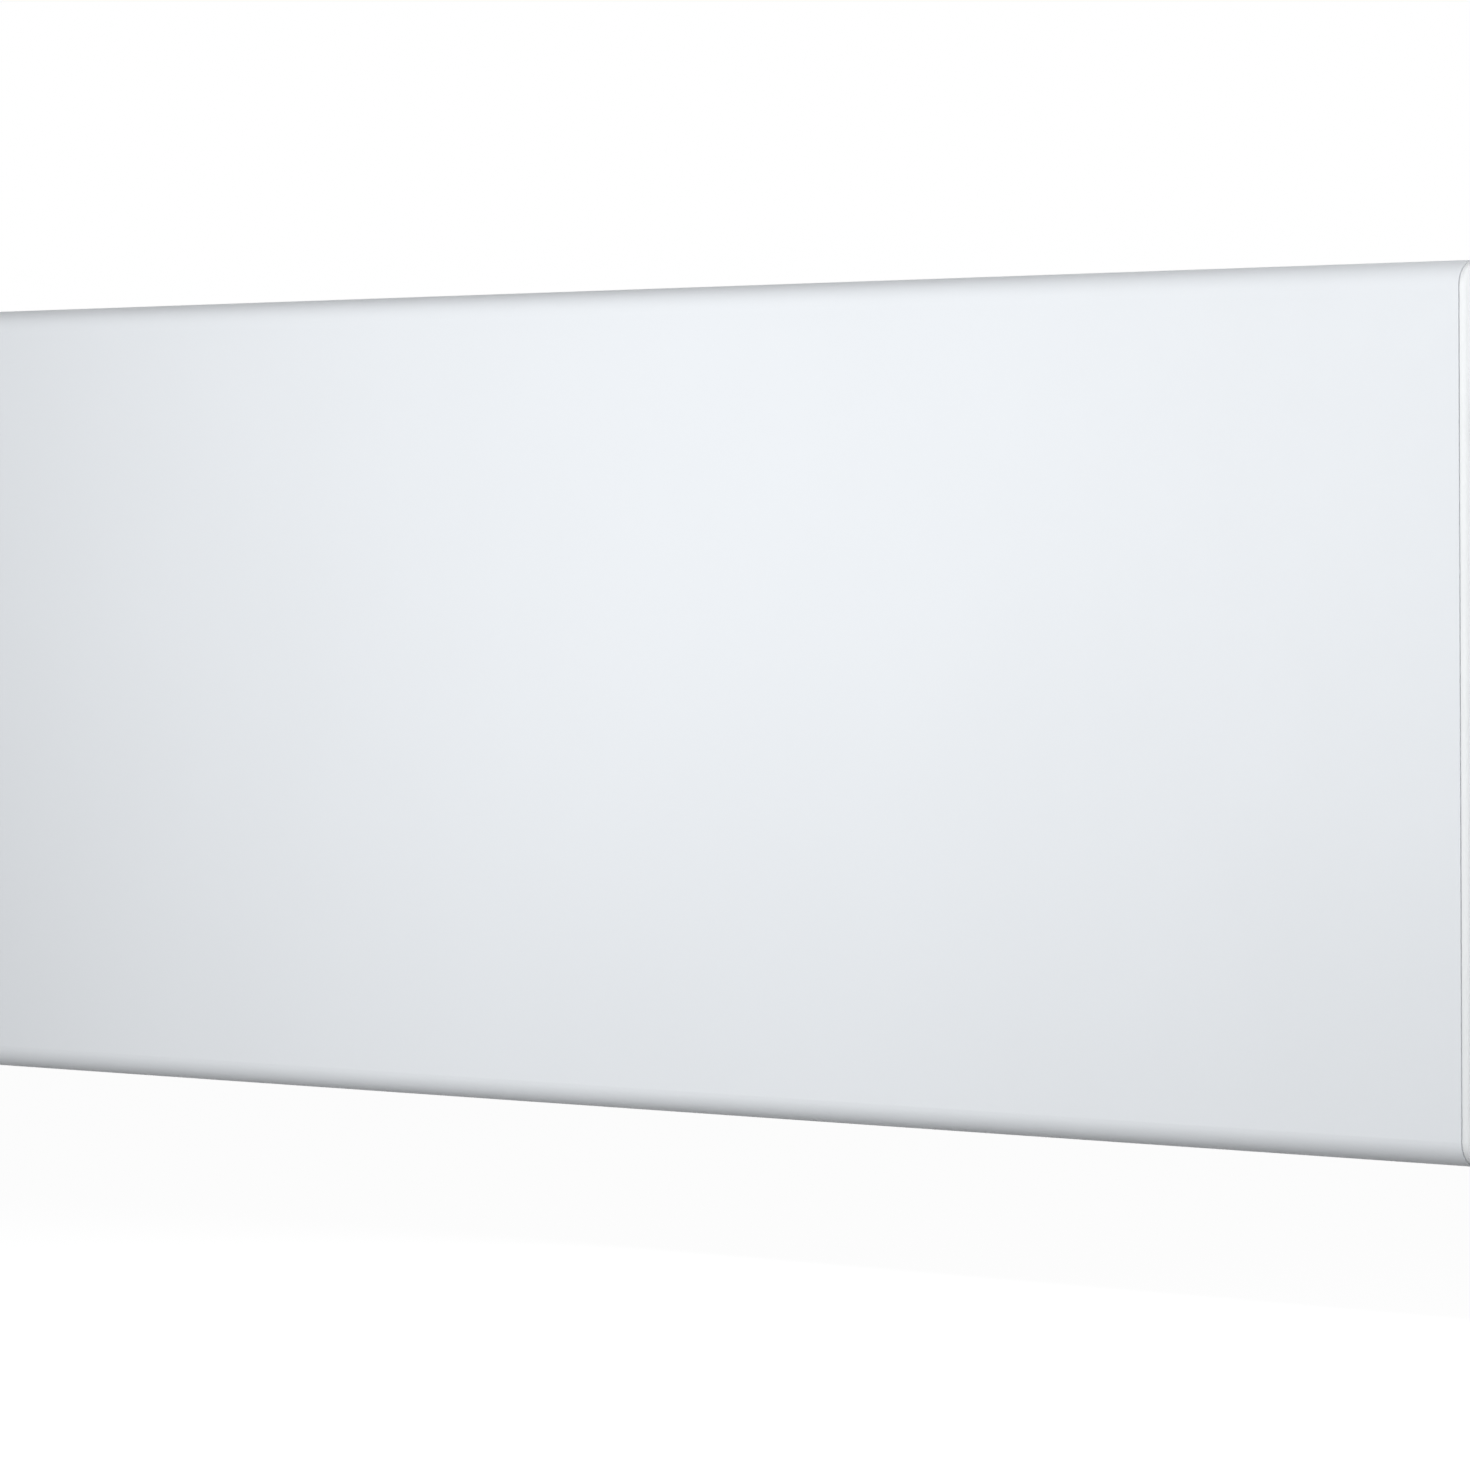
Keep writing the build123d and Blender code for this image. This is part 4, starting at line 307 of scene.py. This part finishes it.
def moulded(name, colour, roughness, grain, depth):
    """A moulded plastic with a fine spark-eroded grain."""
    made = Finish(name, colour, roughness)
    made.round_edges(BARE_EDGE)
    made.tint(made.noise(22, detail=3), 0.012)
    made.gloss(made.noise(140), roughness - 0.04, roughness + 0.05)
    made.bump(made.noise(1 / grain), depth)
    return made.material


def galvanised(name, colour):
    """Hot-dipped sheet: grains of zinc a few millimetres wide, each with its own gloss."""
    made = Finish(name, colour, 0.42, 1.0)
    made.round_edges(BARE_EDGE)
    coords = made.place()
    ragged = made.add("TexNoise", {"Vector": coords, "Scale": SPANGLE_RAGGED, "Detail": 3.0}).outputs[1]
    push = made.add("VectorMath", {0: ragged, 1: (0.5, 0.5, 0.5)}, operation="SUBTRACT").outputs[0]
    push = made.add("VectorMath", {0: push, "Scale": SPANGLE_PUSH}, operation="SCALE").outputs[0]
    where = made.add("VectorMath", {0: coords, 1: push}, operation="ADD").outputs[0]
    grains = made.add("TexVoronoi", {"Vector": where, "Scale": SPANGLE}).outputs["Color"]
    level = made.grey(grains)
    made.tint(level, 0.12, 0.15, 0.85)
    made.gloss(level, 0.34, 0.52, 0.15, 0.85)
    made.bump(level, 0.006 * MM)
    made.bump(made.noise(900, stretch=(1, 1, 0.12)), 0.002 * MM)
    return made.material


def plated(name, colour, roughness):
    """Zinc plate on turned steel."""
    made = Finish(name, colour, roughness, 1.0)
    made.tint(made.noise(350, detail=3), 0.06)
    made.gloss(made.noise(900), roughness - 0.06, roughness + 0.10)
    made.bump(made.noise(2600), 0.003 * MM)
    return made.material


def painted_screw(name, colour):
    """Screws with white-painted heads."""
    made = Finish(name, colour, 0.38)
    made.tint(made.noise(300, detail=3), 0.02)
    made.gloss(made.noise(800), 0.32, 0.44)
    made.bump(made.noise(1500), 0.005 * MM)
    return made.material


def extruded(name, colour):
    """Extruded aluminium: die lines along X and a dull film from the heat."""
    made = Finish(name, colour, 0.4, 1.0)
    lines = made.noise(1400, stretch=(0.008, 1, 1))
    film = made.noise(45, detail=4)
    made.tint(film, 0.05)
    made.gloss(film, 0.33, 0.48)
    made.bump(lines, 0.01 * MM)
    return made.material


def heated_steel(name):
    """A sheathed rod, coloured straw and brown by its own heat."""
    made = Finish(name, (0.32, 0.29, 0.26), 0.45, 1.0)
    cloud = made.noise(55, detail=4)
    straw = made.blend(made.remap(cloud, 0.3, 0.5, 0.0, 1.0), (0.33, 0.34, 0.36), (0.38, 0.30, 0.20))
    made.colour_from(made.blend(made.remap(cloud, 0.5, 0.68, 0.0, 1.0), straw, (0.20, 0.14, 0.12)))
    made.gloss(cloud, 0.36, 0.55)
    made.bump(made.noise(2000), 0.004 * MM)
    return made.material


def fired(name, colour):
    """Unglazed steatite: chalky, with fine dark specks."""
    made = Finish(name, colour, 0.62)
    specks = made.remap(made.cells(900), 0.04, 0.10, 0.0, 1.0)
    made.colour_from(made.blend(specks, made.colour * 0.72, made.colour))
    made.gloss(made.noise(400, detail=3), 0.55, 0.70)
    made.bump(made.noise(1700, detail=3), 0.012 * MM)
    return made.material


def turned_brass(name, colour):
    """Brass with a thin tarnish in its hollows."""
    made = Finish(name, colour, 0.3, 1.0)
    tarnish = made.remap(made.noise(260, detail=4), 0.45, 0.7, 0.0, 1.0)
    made.colour_from(made.blend(tarnish, made.colour, made.colour * 0.68))
    made.gloss(tarnish, 0.24, 0.44, 0.0, 1.0)
    made.bump(made.noise(2400), 0.004 * MM)
    return made.material


def rubbery(name, colour, roughness, bloom):
    """Soft rubber or silicone with a pale bloom in patches."""
    made = Finish(name, colour, roughness)
    cloud = made.remap(made.noise(120, detail=4), 0.42, 0.72, 0.0, bloom)
    made.colour_from(made.blend(cloud, made.colour, Vector((0.5, 0.5, 0.5))))
    made.gloss(made.noise(300, detail=3), roughness - 0.06, roughness + 0.10)
    made.bump(made.noise(1800, detail=3), 0.01 * MM)
    return made.material


def striped_lead(name, green, yellow):
    """The earth lead: green silicone with yellow bands."""
    made = Finish(name, green, 0.5)
    inputs = {"Vector": made.place(), "Scale": 60.0, "Distortion": 0.4, "Detail": 1.0}
    bands = made.add("TexWave", inputs, bands_direction="DIAGONAL").outputs[1]
    made.colour_from(made.blend(made.remap(bands, 0.62, 0.66, 0.0, 1.0), green, yellow))
    made.gloss(made.noise(500), 0.42, 0.56)
    made.bump(made.noise(1800), 0.006 * MM)
    return made.material


def clear_amber(name, colour):
    """A moulded lens with a pebbled inner face."""
    made = Finish(name, colour, 0.12)
    made.set("Transmission Weight", 0.55)
    made.set("IOR", 1.49)
    made.tint(made.noise(400), 0.05)
    made.bump(made.cells(1400), 0.03 * MM)
    return made.material


def laminate(name, colour):
    """A printed board: green resist over copper tracks."""
    made = Finish(name, colour, 0.28)
    inputs = {"Vector": made.place(turn=(0, 90, 0)), "Scale": 90.0}
    inputs.update({"Mortar Size": 0.035, "Color1": (0, 0, 0, 1), "Color2": (0, 0, 0, 1)})
    inputs.update({"Mortar": (1, 1, 1, 1), "Brick Width": 0.72, "Row Height": 0.31})
    tracks = made.grey(made.add("TexBrick", inputs).outputs[0])
    made.colour_from(made.blend(tracks, made.colour, Vector((0.09, 0.30, 0.10))))
    made.gloss(made.noise(500), 0.22, 0.34)
    made.bump(tracks, 0.03 * MM)
    return made.material


# The maker of each material slot's finish, with its colour and the maker's other values
FINISHES = {
    "casing_paint": (powder_coat, (0.845, 0.867, 0.896)),
    "cap_plastic": (moulded, (0.860, 0.872, 0.880), 0.46, 0.6 * MM, 0.004 * MM),
    "zinc_sheet": (galvanised, (0.46, 0.473, 0.487)),
    "fastener_zinc": (plated, (0.50, 0.505, 0.49), 0.40),
    "casing_screw": (painted_screw, (0.82, 0.835, 0.85)),
    "element_aluminium": (extruded, (0.74, 0.75, 0.76)),
    "rod_steel": (heated_steel,),
    "porcelain": (fired, (0.88, 0.855, 0.79)),
    "brass": (turned_brass, (0.78, 0.60, 0.28)),
    "rubber": (rubbery, (0.028, 0.028, 0.030), 0.62, 0.10),
    "grommet_rubber": (rubbery, (0.42, 0.43, 0.44), 0.58, 0.25),
    "knob_plastic": (moulded, (0.79, 0.805, 0.82), 0.50, 0.4 * MM, 0.010 * MM),
    "switch_plastic": (moulded, (0.80, 0.815, 0.83), 0.24, 0.8 * MM, 0.002 * MM),
    "rocker_plastic": (moulded, (0.74, 0.755, 0.77), 0.27, 0.8 * MM, 0.003 * MM),
    "lens_amber": (clear_amber, (0.90, 0.38, 0.05)),
    "board_laminate": (laminate, (0.02, 0.15, 0.06)),
    "relay_plastic": (moulded, (0.02, 0.09, 0.30), 0.32, 0.5 * MM, 0.006 * MM),
    "capacitor_sleeve": (moulded, (0.02, 0.02, 0.03), 0.30, 1.0 * MM, 0.002 * MM),
    "connector_plastic": (moulded, (0.06, 0.34, 0.14), 0.42, 0.5 * MM, 0.006 * MM),
    "pot_plastic": (moulded, (0.035, 0.036, 0.040), 0.45, 0.4 * MM, 0.006 * MM),
    "cutout_phenolic": (fired, (0.10, 0.065, 0.045)),
    "probe_epoxy": (moulded, (0.02, 0.02, 0.02), 0.22, 1.2 * MM, 0.006 * MM),
    "clip_plastic": (moulded, (0.80, 0.79, 0.75), 0.40, 0.5 * MM, 0.004 * MM),
    "lead_brown": (rubbery, (0.13, 0.055, 0.03), 0.48, 0.10),
    "lead_blue": (rubbery, (0.03, 0.11, 0.42), 0.48, 0.10),
    "lead_black": (rubbery, (0.02, 0.02, 0.02), 0.48, 0.10),
    "lead_red": (rubbery, (0.48, 0.03, 0.025), 0.48, 0.10),
    "lead_green": (striped_lead, Vector((0.06, 0.34, 0.06)), Vector((0.85, 0.72, 0.05))),
    "lead_white": (rubbery, (0.76, 0.76, 0.73), 0.48, 0.20),
}


def make_finishes():
    """One material for each slot of the record."""
    return {slot: maker(slot, *values) for slot, (maker, *values) in FINISHES.items()}


def dress_nodes(finishes):
    """Every node of the model gets the material of its slot."""
    slots = {part["node"]: part["material_slot"] for part in frame["record"]["subparts"]}
    for name, node in frame["nodes"].items():
        node.data.materials.clear()
        node.data.materials.append(finishes[slots[name]])
    return slots


# Meshes


def add_piece(name, mesh, finishes, body, slot):
    """A piece that rides on the body and has the slot's finish."""
    mesh.materials.clear()
    mesh.materials.append(finishes[slot])
    piece = bpy.data.objects.new(name, mesh)
    scene.collection.objects.link(piece)
    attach(piece, body)
    return piece


def replace_node(node, mesh, finishes, slots):
    """The mesh stands for the node, on its body and with its slot's finish."""
    body = body_of(frame["nodes"][node])[0]
    piece = add_piece(node + "_fine", mesh, finishes, body, slots[node])
    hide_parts(node)


def lathe(shape, profile, place, steps=32):
    """Turns a profile of (radius, height) about the Z axis of the matrix, into the bmesh."""
    rings = []
    for radius, height in profile:
        if radius < SAME_POINT:
            rings.append([shape.verts.new(place @ Vector((0, 0, height)))])
            continue
        angles = [2 * math.pi * i / steps for i in range(steps)]
        points = [Vector((radius * math.cos(a), radius * math.sin(a), height)) for a in angles]
        rings.append([shape.verts.new(place @ point) for point in points])
    for low, high in zip(rings, rings[1:]):
        for i in range(steps):
            j = (i + 1) % steps
            corners = [low[i % len(low)], low[j % len(low)], high[j % len(high)], high[i % len(high)]]
            face = list(dict.fromkeys(corners))
            if len(face) > 2:
                shape.faces.new(face)


def finish_mesh(name, shape, crease=CREASE):
    """The bmesh as a mesh with smooth faces, whose edges are sharp where faces meet at the crease."""
    bmesh.ops.recalc_face_normals(shape, faces=shape.faces)
    mesh = bpy.data.meshes.new(name)
    shape.to_mesh(mesh)
    shape.free()
    mesh.shade_smooth()
    mesh.set_sharp_from_angle(angle=math.radians(crease))
    return mesh


def loose_parts(node):
    """The separate solids of a node, each as the list of its points."""
    mesh = frame["nodes"][node].data
    shape = bmesh.new()
    shape.from_mesh(mesh)
    bmesh.ops.remove_doubles(shape, verts=shape.verts, dist=SAME_POINT)
    seen, parts = set(), []
    for start in shape.verts:
        if start in seen:
            continue
        stack, part = [start], []
        seen.add(start)
        while stack:
            vert = stack.pop()
            part.append(vert.co.copy())
            for edge in vert.link_edges:
                other = edge.other_vert(vert)
                if other not in seen:
                    seen.add(other)
                    stack.append(other)
        parts.append(part)
    shape.free()
    return parts


def fastener_place(points, head, head_radius):
    """Where a fastener's head sits, as a matrix whose Z axis points out of it, and its length."""
    low = Vector(min(p[i] for p in points) for i in range(3))
    high = Vector(max(p[i] for p in points) for i in range(3))
    spans = high - low
    axis = max(range(3), key=lambda i: abs(spans[i] - 2 * head_radius))
    middle = (low + high) / 2
    others = [i for i in range(3) if i != axis]
    wide = [p for p in points if max(abs(p[i] - middle[i]) for i in others) > 0.9 * head_radius]
    way = 1 if sum(p[axis] for p in wide) / len(wide) > middle[axis] else -1
    out = Vector((0, 0, 0))
    out[axis] = way
    seat = middle.copy()
    seat[axis] = (high[axis] if way > 0 else low[axis]) - way * head
    turn = out.to_track_quat("Z", "Y").to_matrix().to_4x4()
    return Matrix.Translation(seat) @ turn, spans[axis]


def cut_form(body, cutter):
    """The first form's mesh less the second's. Both forms are used up."""
    for form in (body, cutter):
        scene.collection.objects.link(form)
    cut = body.modifiers.new("cut", "BOOLEAN")
    cut.object = cutter
    cut.solver = "EXACT"
    graph = bpy.context.evaluated_depsgraph_get()
    made = bpy.data.meshes.new_from_object(body.evaluated_get(graph))
    for form in (body, cutter):
        bpy.data.objects.remove(form)
    return made


def cross_cutter(top, bottom, reach, width):
    """A tapered cross, as the driver's point."""
    shape = bmesh.new()
    rings = []
    for height, scale in ((top, 1.0), (bottom, CROSS_TAPER)):
        a, b = reach * scale, width * scale
        corners = [(b, b), (b, a), (-b, a), (-b, b), (-a, b), (-a, -b)]
        corners += [(-b, -b), (-b, -a), (b, -a), (b, -b), (a, -b), (a, b)]
        rings.append([shape.verts.new((x, y, height)) for x, y in corners])
    shape.faces.new(rings[0])
    shape.faces.new(list(reversed(rings[1])))
    for i in range(len(corners)):
        j = (i + 1) % len(corners)
        shape.faces.new((rings[0][j], rings[0][i], rings[1][i], rings[1][j]))
    return finish_mesh("cross", shape)


def screw_mesh():
    """One pan-head screw with a cross recess and a threaded shank, its head's seat at the origin."""
    tip, head = -SCREW_LENGTH, SCREW_HEAD
    profile = [(0, tip), (SCREW_POINT, tip)]
    height = tip + 0.7 * MM
    while height < -0.6 * MM:
        profile += [(SCREW_CORE, height), (SCREW_CREST, height + SCREW_PITCH / 2)]
        height += SCREW_PITCH
    profile += [(SCREW_CORE, -0.3 * MM), (SCREW_CORE, 0), (3.25 * MM, 0), (SCREW_HEAD_RADIUS, 0.15 * MM)]
    profile += [(SCREW_HEAD_RADIUS, 0.45 * head), (3.15 * MM, 0.72 * head), (2.6 * MM, 0.90 * head)]
    profile += [(1.8 * MM, 0.975 * head), (0, head)]
    shape = bmesh.new()
    lathe(shape, profile, Matrix.Identity(4), steps=40)
    body = bpy.data.objects.new("screw_form", finish_mesh("screw_form", shape))
    cross = cross_cutter(head + 0.2 * MM, head - CROSS_DEPTH, CROSS_REACH, CROSS_WIDTH)
    return cut_form(body, bpy.data.objects.new("cross_form", cross))


def place_screws(node, form, finishes, slots):
    """Fine screws in place of a node's plain ones. Each recess has its own turn."""
    shape = bmesh.new()
    for number, points in enumerate(loose_parts(node)):
        place = fastener_place(points, SCREW_HEAD, SCREW_HEAD_RADIUS)[0]
        copy = form.copy()
        copy.transform(place @ Matrix.Rotation(math.radians(SCREW_TURN * number), 4, "Z"))
        shape.from_mesh(copy)
        bpy.data.meshes.remove(copy)
    replace_node(node, finish_mesh(node + "_fine", shape, FASTENER_CREASE), finishes, slots)


def place_rivets(node, finishes, slots):
    """Blind rivets: a domed head round the hollow where the mandrel broke, and a bulged tail."""
    shape = bmesh.new()
    for points in loose_parts(node):
        place, length = fastener_place(points, RIVET_HEAD, RIVET_HEAD_RADIUS)
        end = RIVET_HEAD - length
        grip = end + RIVET_HEAD
        tail = RIVET_RADIUS + RIVET_BULGE
        profile = [(0, end), (1.2 * MM, end + 0.05 * MM), (0.75 * tail, end + 0.15 * MM)]
        profile += [(tail, end + 0.5 * RIVET_HEAD), (0.9 * tail, grip - 0.1 * MM), (RIVET_RADIUS, grip)]
        profile += [(RIVET_RADIUS, 0), (3.35 * MM, 0), (RIVET_HEAD_RADIUS, 0.12 * MM)]
        profile += [(3.42 * MM, 0.35 * MM), (3.0 * MM, 0.75 * MM), (2.3 * MM, 1.05 * MM)]
        profile += [(1.55 * MM, 1.19 * MM), (1.2 * MM, RIVET_HEAD), (1.08 * MM, 1.12 * MM)]
        profile += [(1.0 * MM, 0.55 * MM), (0.55 * MM, 0.50 * MM), (0.35 * MM, 0.68 * MM), (0, 0.72 * MM)]
        lathe(shape, profile, place, steps=28)
    replace_node(node, finish_mesh(node + "_fine", shape, FASTENER_CREASE), finishes, slots)


# Marks


def on_end_face(radius, angle):
    """A place round the dial on the right end face. The angle runs clockwise from the top."""
    turn = math.radians(angle)
    return AXIS_Y + radius * math.sin(turn), DIAL_Z + radius * math.cos(turn)


def end_face_turn(y, z, spin=0.0, x=RIGHT_FACE):
    """From a drawing on XY to the end face: its X runs towards the wall and its Y upwards."""
    axes = Matrix(((0, 0, 1, x), (1, 0, 0, y), (0, 1, 0, z), (0, 0, 0, 1)))
    return axes @ Matrix.Rotation(-math.radians(spin), 4, "Z")


def bar(shape, place, width, length, thickness):
    """A flat printed stroke with round ends, upwards from the place."""
    outline, radius, steps = [], width / 2, 8
    for end, start in ((length - radius, 0), (radius, math.pi)):
        for i in range(steps + 1):
            a = start + math.pi * i / steps
            outline.append((radius * math.cos(a), end + radius * math.sin(a)))
    rings = []
    for height in (-thickness, thickness):
        rings.append([shape.verts.new(place @ Vector((x, y, height))) for x, y in outline])
    shape.faces.new(rings[1])
    shape.faces.new(list(reversed(rings[0])))
    for i in range(len(outline)):
        j = (i + 1) % len(outline)
        shape.faces.new((rings[0][i], rings[0][j], rings[1][j], rings[1][i]))


def number_mesh(text, size):
    """A plain figure in Blender's own typeface, centred on the origin."""
    curve = bpy.data.curves.new("figure", "FONT")
    curve.body = text
    curve.size = size
    curve.align_x = "CENTER"
    curve.align_y = "CENTER"
    curve.extrude = PRINT_THICKNESS
    form = bpy.data.objects.new("figure_form", curve)
    scene.collection.objects.link(form)
    graph = bpy.context.evaluated_depsgraph_get()
    made = bpy.data.meshes.new_from_object(form.evaluated_get(graph))
    bpy.data.objects.remove(form)
    return made


def make_dial_scale(finishes):
    """Ticks and plain numbers printed round the dial."""
    shape = bmesh.new()
    for i in range(2 * DIAL_STEPS + 1):
        angle = -DIAL_REST + DIAL_TRAVEL * i / (2 * DIAL_STEPS)
        y, z = on_end_face(TICK_START, angle)
        length = TICK_SHORT if i % 2 else TICK_LONG
        bar(shape, end_face_turn(y, z, angle), TICK_WIDTH, length, PRINT_THICKNESS)
        if i % 2 == 0:
            y, z = on_end_face(NUMBER_RADIUS, angle)
            figure = number_mesh(str(i // 2), NUMBER_SIZE)
            figure.transform(end_face_turn(y, z))
            shape.from_mesh(figure)
            bpy.data.meshes.remove(figure)
    add_piece("dial_scale", finish_mesh("dial_scale", shape), finishes, "casing", "pot_plastic")


def knob_profile():
    """Radius and height of the knob's outer face, from its back to its flat top, with soft edges."""
    r, f = DIAL_RADIUS, KNOB_FACE - KNOB_BACK
    points = [(r - 0.25 * MM, 0), (r - 0.07 * MM, 0.07 * MM), (r, 0.25 * MM), (r, 1.05 * MM)]
    points += [(r - 0.10 * MM, 1.32 * MM), (17.25 * MM, 2.25 * MM), (17.0 * MM, 2.40 * MM)]
    points += [(KNOB_RIM + 0.25 * MM, 2.45 * MM), (KNOB_RIM, 2.75 * MM)]
    points += [(KNOB_RIM - KNOB_RIM_DRAFT * i, (3.2 + 0.8 * i) * MM) for i in range(10)]
    points += [(15.50 * MM, f - 1.75 * MM), (15.36 * MM, f - 1.40 * MM), (14.9 * MM, f - 0.90 * MM)]
    points += [(14.2 * MM, f - 0.45 * MM), (13.45 * MM, f - 0.12 * MM), (12.9 * MM, f - 0.02 * MM)]
    return points + [(12.2 * MM, f), (9.0 * MM, f), (6.0 * MM, f), (3.0 * MM, f), (0, f)]


def knob_inside():
    """The hollow behind the knob's face, with its hub."""
    floor = KNOB_FACE - KNOB_BACK - KNOB_WALL
    points = [(0, floor), (SHAFT_RADIUS, floor), (SHAFT_RADIUS, 0), (HUB_RADIUS, 0), (HUB_RADIUS, floor)]
    return points + [(KNOB_INSIDE, floor), (KNOB_INSIDE, 0)]


def make_knob(finishes, slots):
    """The dial's knob: a turned form with hollow grips, and a groove for its pointer."""
    shape = bmesh.new()
    place = end_face_turn(AXIS_Y, DIAL_Z, 0, KNOB_BACK)
    lathe(shape, knob_inside() + knob_profile(), place, steps=GRIPS * GRIP_STEPS)
    pitch = 2 * math.pi / GRIPS
    for vert in shape.verts:
        y, z = vert.co.y - AXIS_Y, vert.co.z - DIAL_Z
        radius = math.hypot(y, z)
        if radius < GRIP_FLOOR - SAME_POINT or vert.co.x < KNOB_BACK + GRIP_START:
            continue
        angle = math.atan2(z, y)
        away = (angle - pitch * round(angle / pitch)) * radius
        if abs(away) < GRIP_RADIUS:
            floor = GRIP_FLOOR + GRIP_RADIUS - math.sqrt(GRIP_RADIUS ** 2 - away ** 2)
            scale = min(1.0, floor / radius)
            vert.co.y, vert.co.z = AXIS_Y + y * scale, DIAL_Z + z * scale
    body = bpy.data.objects.new("knob_form", finish_mesh("knob_form", shape, KNOB_CREASE))
    groove = bmesh.new()
    y, z = on_end_face(GROOVE_START, -DIAL_REST)
    place = end_face_turn(y, z, -DIAL_REST, KNOB_FACE)
    bar(groove, place, GROOVE_WIDTH, GROOVE_LENGTH, GROOVE_DEPTH)
    cutter = bpy.data.objects.new("groove_form", finish_mesh("groove_form", groove))
    mesh = cut_form(body, cutter)
    mesh.set_sharp_from_angle(angle=math.radians(KNOB_CREASE))
    replace_node("dial_knob", mesh, finishes, slots)


def make_pointer(finishes):
    """The dark line in the knob's pointer groove."""
    shape = bmesh.new()
    y, z = on_end_face(POINTER_START, -DIAL_REST)
    place = end_face_turn(y, z, -DIAL_REST, KNOB_FACE - POINTER_DEPTH)
    bar(shape, place, POINTER_WIDTH, POINTER_LENGTH, POINTER_THICKNESS)
    add_piece("dial_pointer", finish_mesh("dial_pointer", shape), finishes, "dial", "pot_plastic")


def rocker_faces():
    """The middle and normal of the rocker's upper and lower faces."""
    low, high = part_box("rocker")
    middle = (low.z + high.z) / 2
    found = {}
    for upper in (True, False):
        area, place, normal = 0.0, Vector(), Vector()
        for face in frame["nodes"]["rocker"].data.polygons:
            outward = face.normal.x > 0.9 and face.area > LEAST_FACE
            if outward and (face.center.z > middle) == upper:
                area += face.area
                place += face.center * face.area
                normal += face.normal * face.area
        found[upper] = (place / area, normal.normalized())
    return found


def make_rocker_marks(finishes):
    """A stroke on the upper half and a ring on the lower."""
    shape = bmesh.new()
    for upper, (place, normal) in rocker_faces().items():
        side = Vector((0, 1, 0))
        axes = Matrix((side, normal.cross(side), normal)).transposed().to_4x4()
        matrix = Matrix.Translation(place) @ axes
        if upper:
            start = matrix @ Matrix.Translation((0, -STROKE_LENGTH / 2, 0))
            bar(shape, start, STROKE_WIDTH, STROKE_LENGTH, PRINT_THICKNESS)
        else:
            t = PRINT_THICKNESS
            ring = [(RING_INNER, -t), (RING_INNER, t), (RING_OUTER, t), (RING_OUTER, -t), (RING_INNER, -t)]
            lathe(shape, ring, matrix, steps=40)
    bmesh.ops.remove_doubles(shape, verts=shape.verts, dist=SAME_POINT)
    add_piece("rocker_marks", finish_mesh("rocker_marks", shape), finishes, "power_rocker", "pot_plastic")


# Studio


def seen_directly(tree):
    """1 for what the camera, a reflection or a clear body sees, and 0 for what only lights."""
    path = add_node(tree, "LightPath")
    value = path.outputs["Is Camera Ray"]
    for ray in ("Is Glossy Ray", "Is Transmission Ray"):
        value = add_node(tree, "Math", {0: value, 1: path.outputs[ray]}, operation="MAXIMUM").outputs[0]
    return value


def make_world():
    """White to look at, and a faint light from all round."""
    scene.world = bpy.data.worlds.new("studio")
    scene.world.use_nodes = True
    tree = scene.world.node_tree
    tree.nodes.clear()
    light = add_node(tree, "Background", {"Color": (*AMBIENT_COLOUR, 1), "Strength": AMBIENT})
    white = add_node(tree, "Background", {"Color": (1, 1, 1, 1), "Strength": 1.0})
    inputs = {0: seen_directly(tree), 1: light.outputs[0], 2: white.outputs[0]}
    mix = add_node(tree, "MixShader", inputs)
    add_node(tree, "OutputWorld", {0: mix.outputs[0]})


def make_floor():
    """A plain pale floor, well below the heater. The camera sees it near white, with its shadow."""
    s = FLOOR_REACH
    corners = [(x, y, FLOOR_Z) for x, y in ((-s, -s), (s, -s), (s, s), (-s, s))]
    mesh = bpy.data.meshes.new("floor")
    mesh.from_pydata(corners, [], [(0, 1, 2, 3)])
    floor = bpy.data.objects.new("floor", mesh)
    scene.collection.objects.link(floor)
    material = bpy.data.materials.new("floor")
    material.use_nodes = True
    tree = material.node_tree
    tree.nodes.clear()
    plain = add_node(tree, "BsdfDiffuse", {"Color": (FLOOR_COLOUR, FLOOR_COLOUR, FLOOR_COLOUR, 1)})
    level = add_node(tree, "Math", {0: seen_directly(tree), 1: FLOOR_WHITE}, operation="MULTIPLY")
    glow = add_node(tree, "Emission", {"Strength": level.outputs[0]})
    both = add_node(tree, "AddShader", {0: plain.outputs[0], 1: glow.outputs[0]})
    add_node(tree, "OutputMaterial", {0: both.outputs[0]})
    mesh.materials.append(material)


def make_lamps():
    """Soft lamps, which the camera doesn't see."""
    for name, place, target, size, power in LAMPS:
        data = bpy.data.lights.new(name, "AREA")
        data.shape = "RECTANGLE"
        data.size, data.size_y = size
        data.energy = power
        data.color = LAMP_COLOUR
        lamp = bpy.data.objects.new(name, data)
        lamp.location = place
        lamp.rotation_euler = (Vector(target) - Vector(place)).to_track_quat("-Z", "Y").to_euler()
        lamp.visible_camera = False
        lamp.visible_glossy = name == "key"         # on bare metal the others would clip
        scene.collection.objects.link(lamp)


make_camera()
finishes = make_finishes()
slots = dress_nodes(finishes)
screw_form = screw_mesh()
for node in ("casing_screws", "cap_screws", "terminal_mount_screws", "board_screws", "earth_screw"):
    place_screws(node, screw_form, finishes, slots)
bpy.data.meshes.remove(screw_form)
for node in ("casing_rivets", "bracket_rivets"):
    place_rivets(node, finishes, slots)
make_dial_scale(finishes)
make_knob(finishes, slots)
make_pointer(finishes)
make_rocker_marks(finishes)
make_world()
make_floor()
make_lamps()

scene.view_settings.view_transform = "Standard"
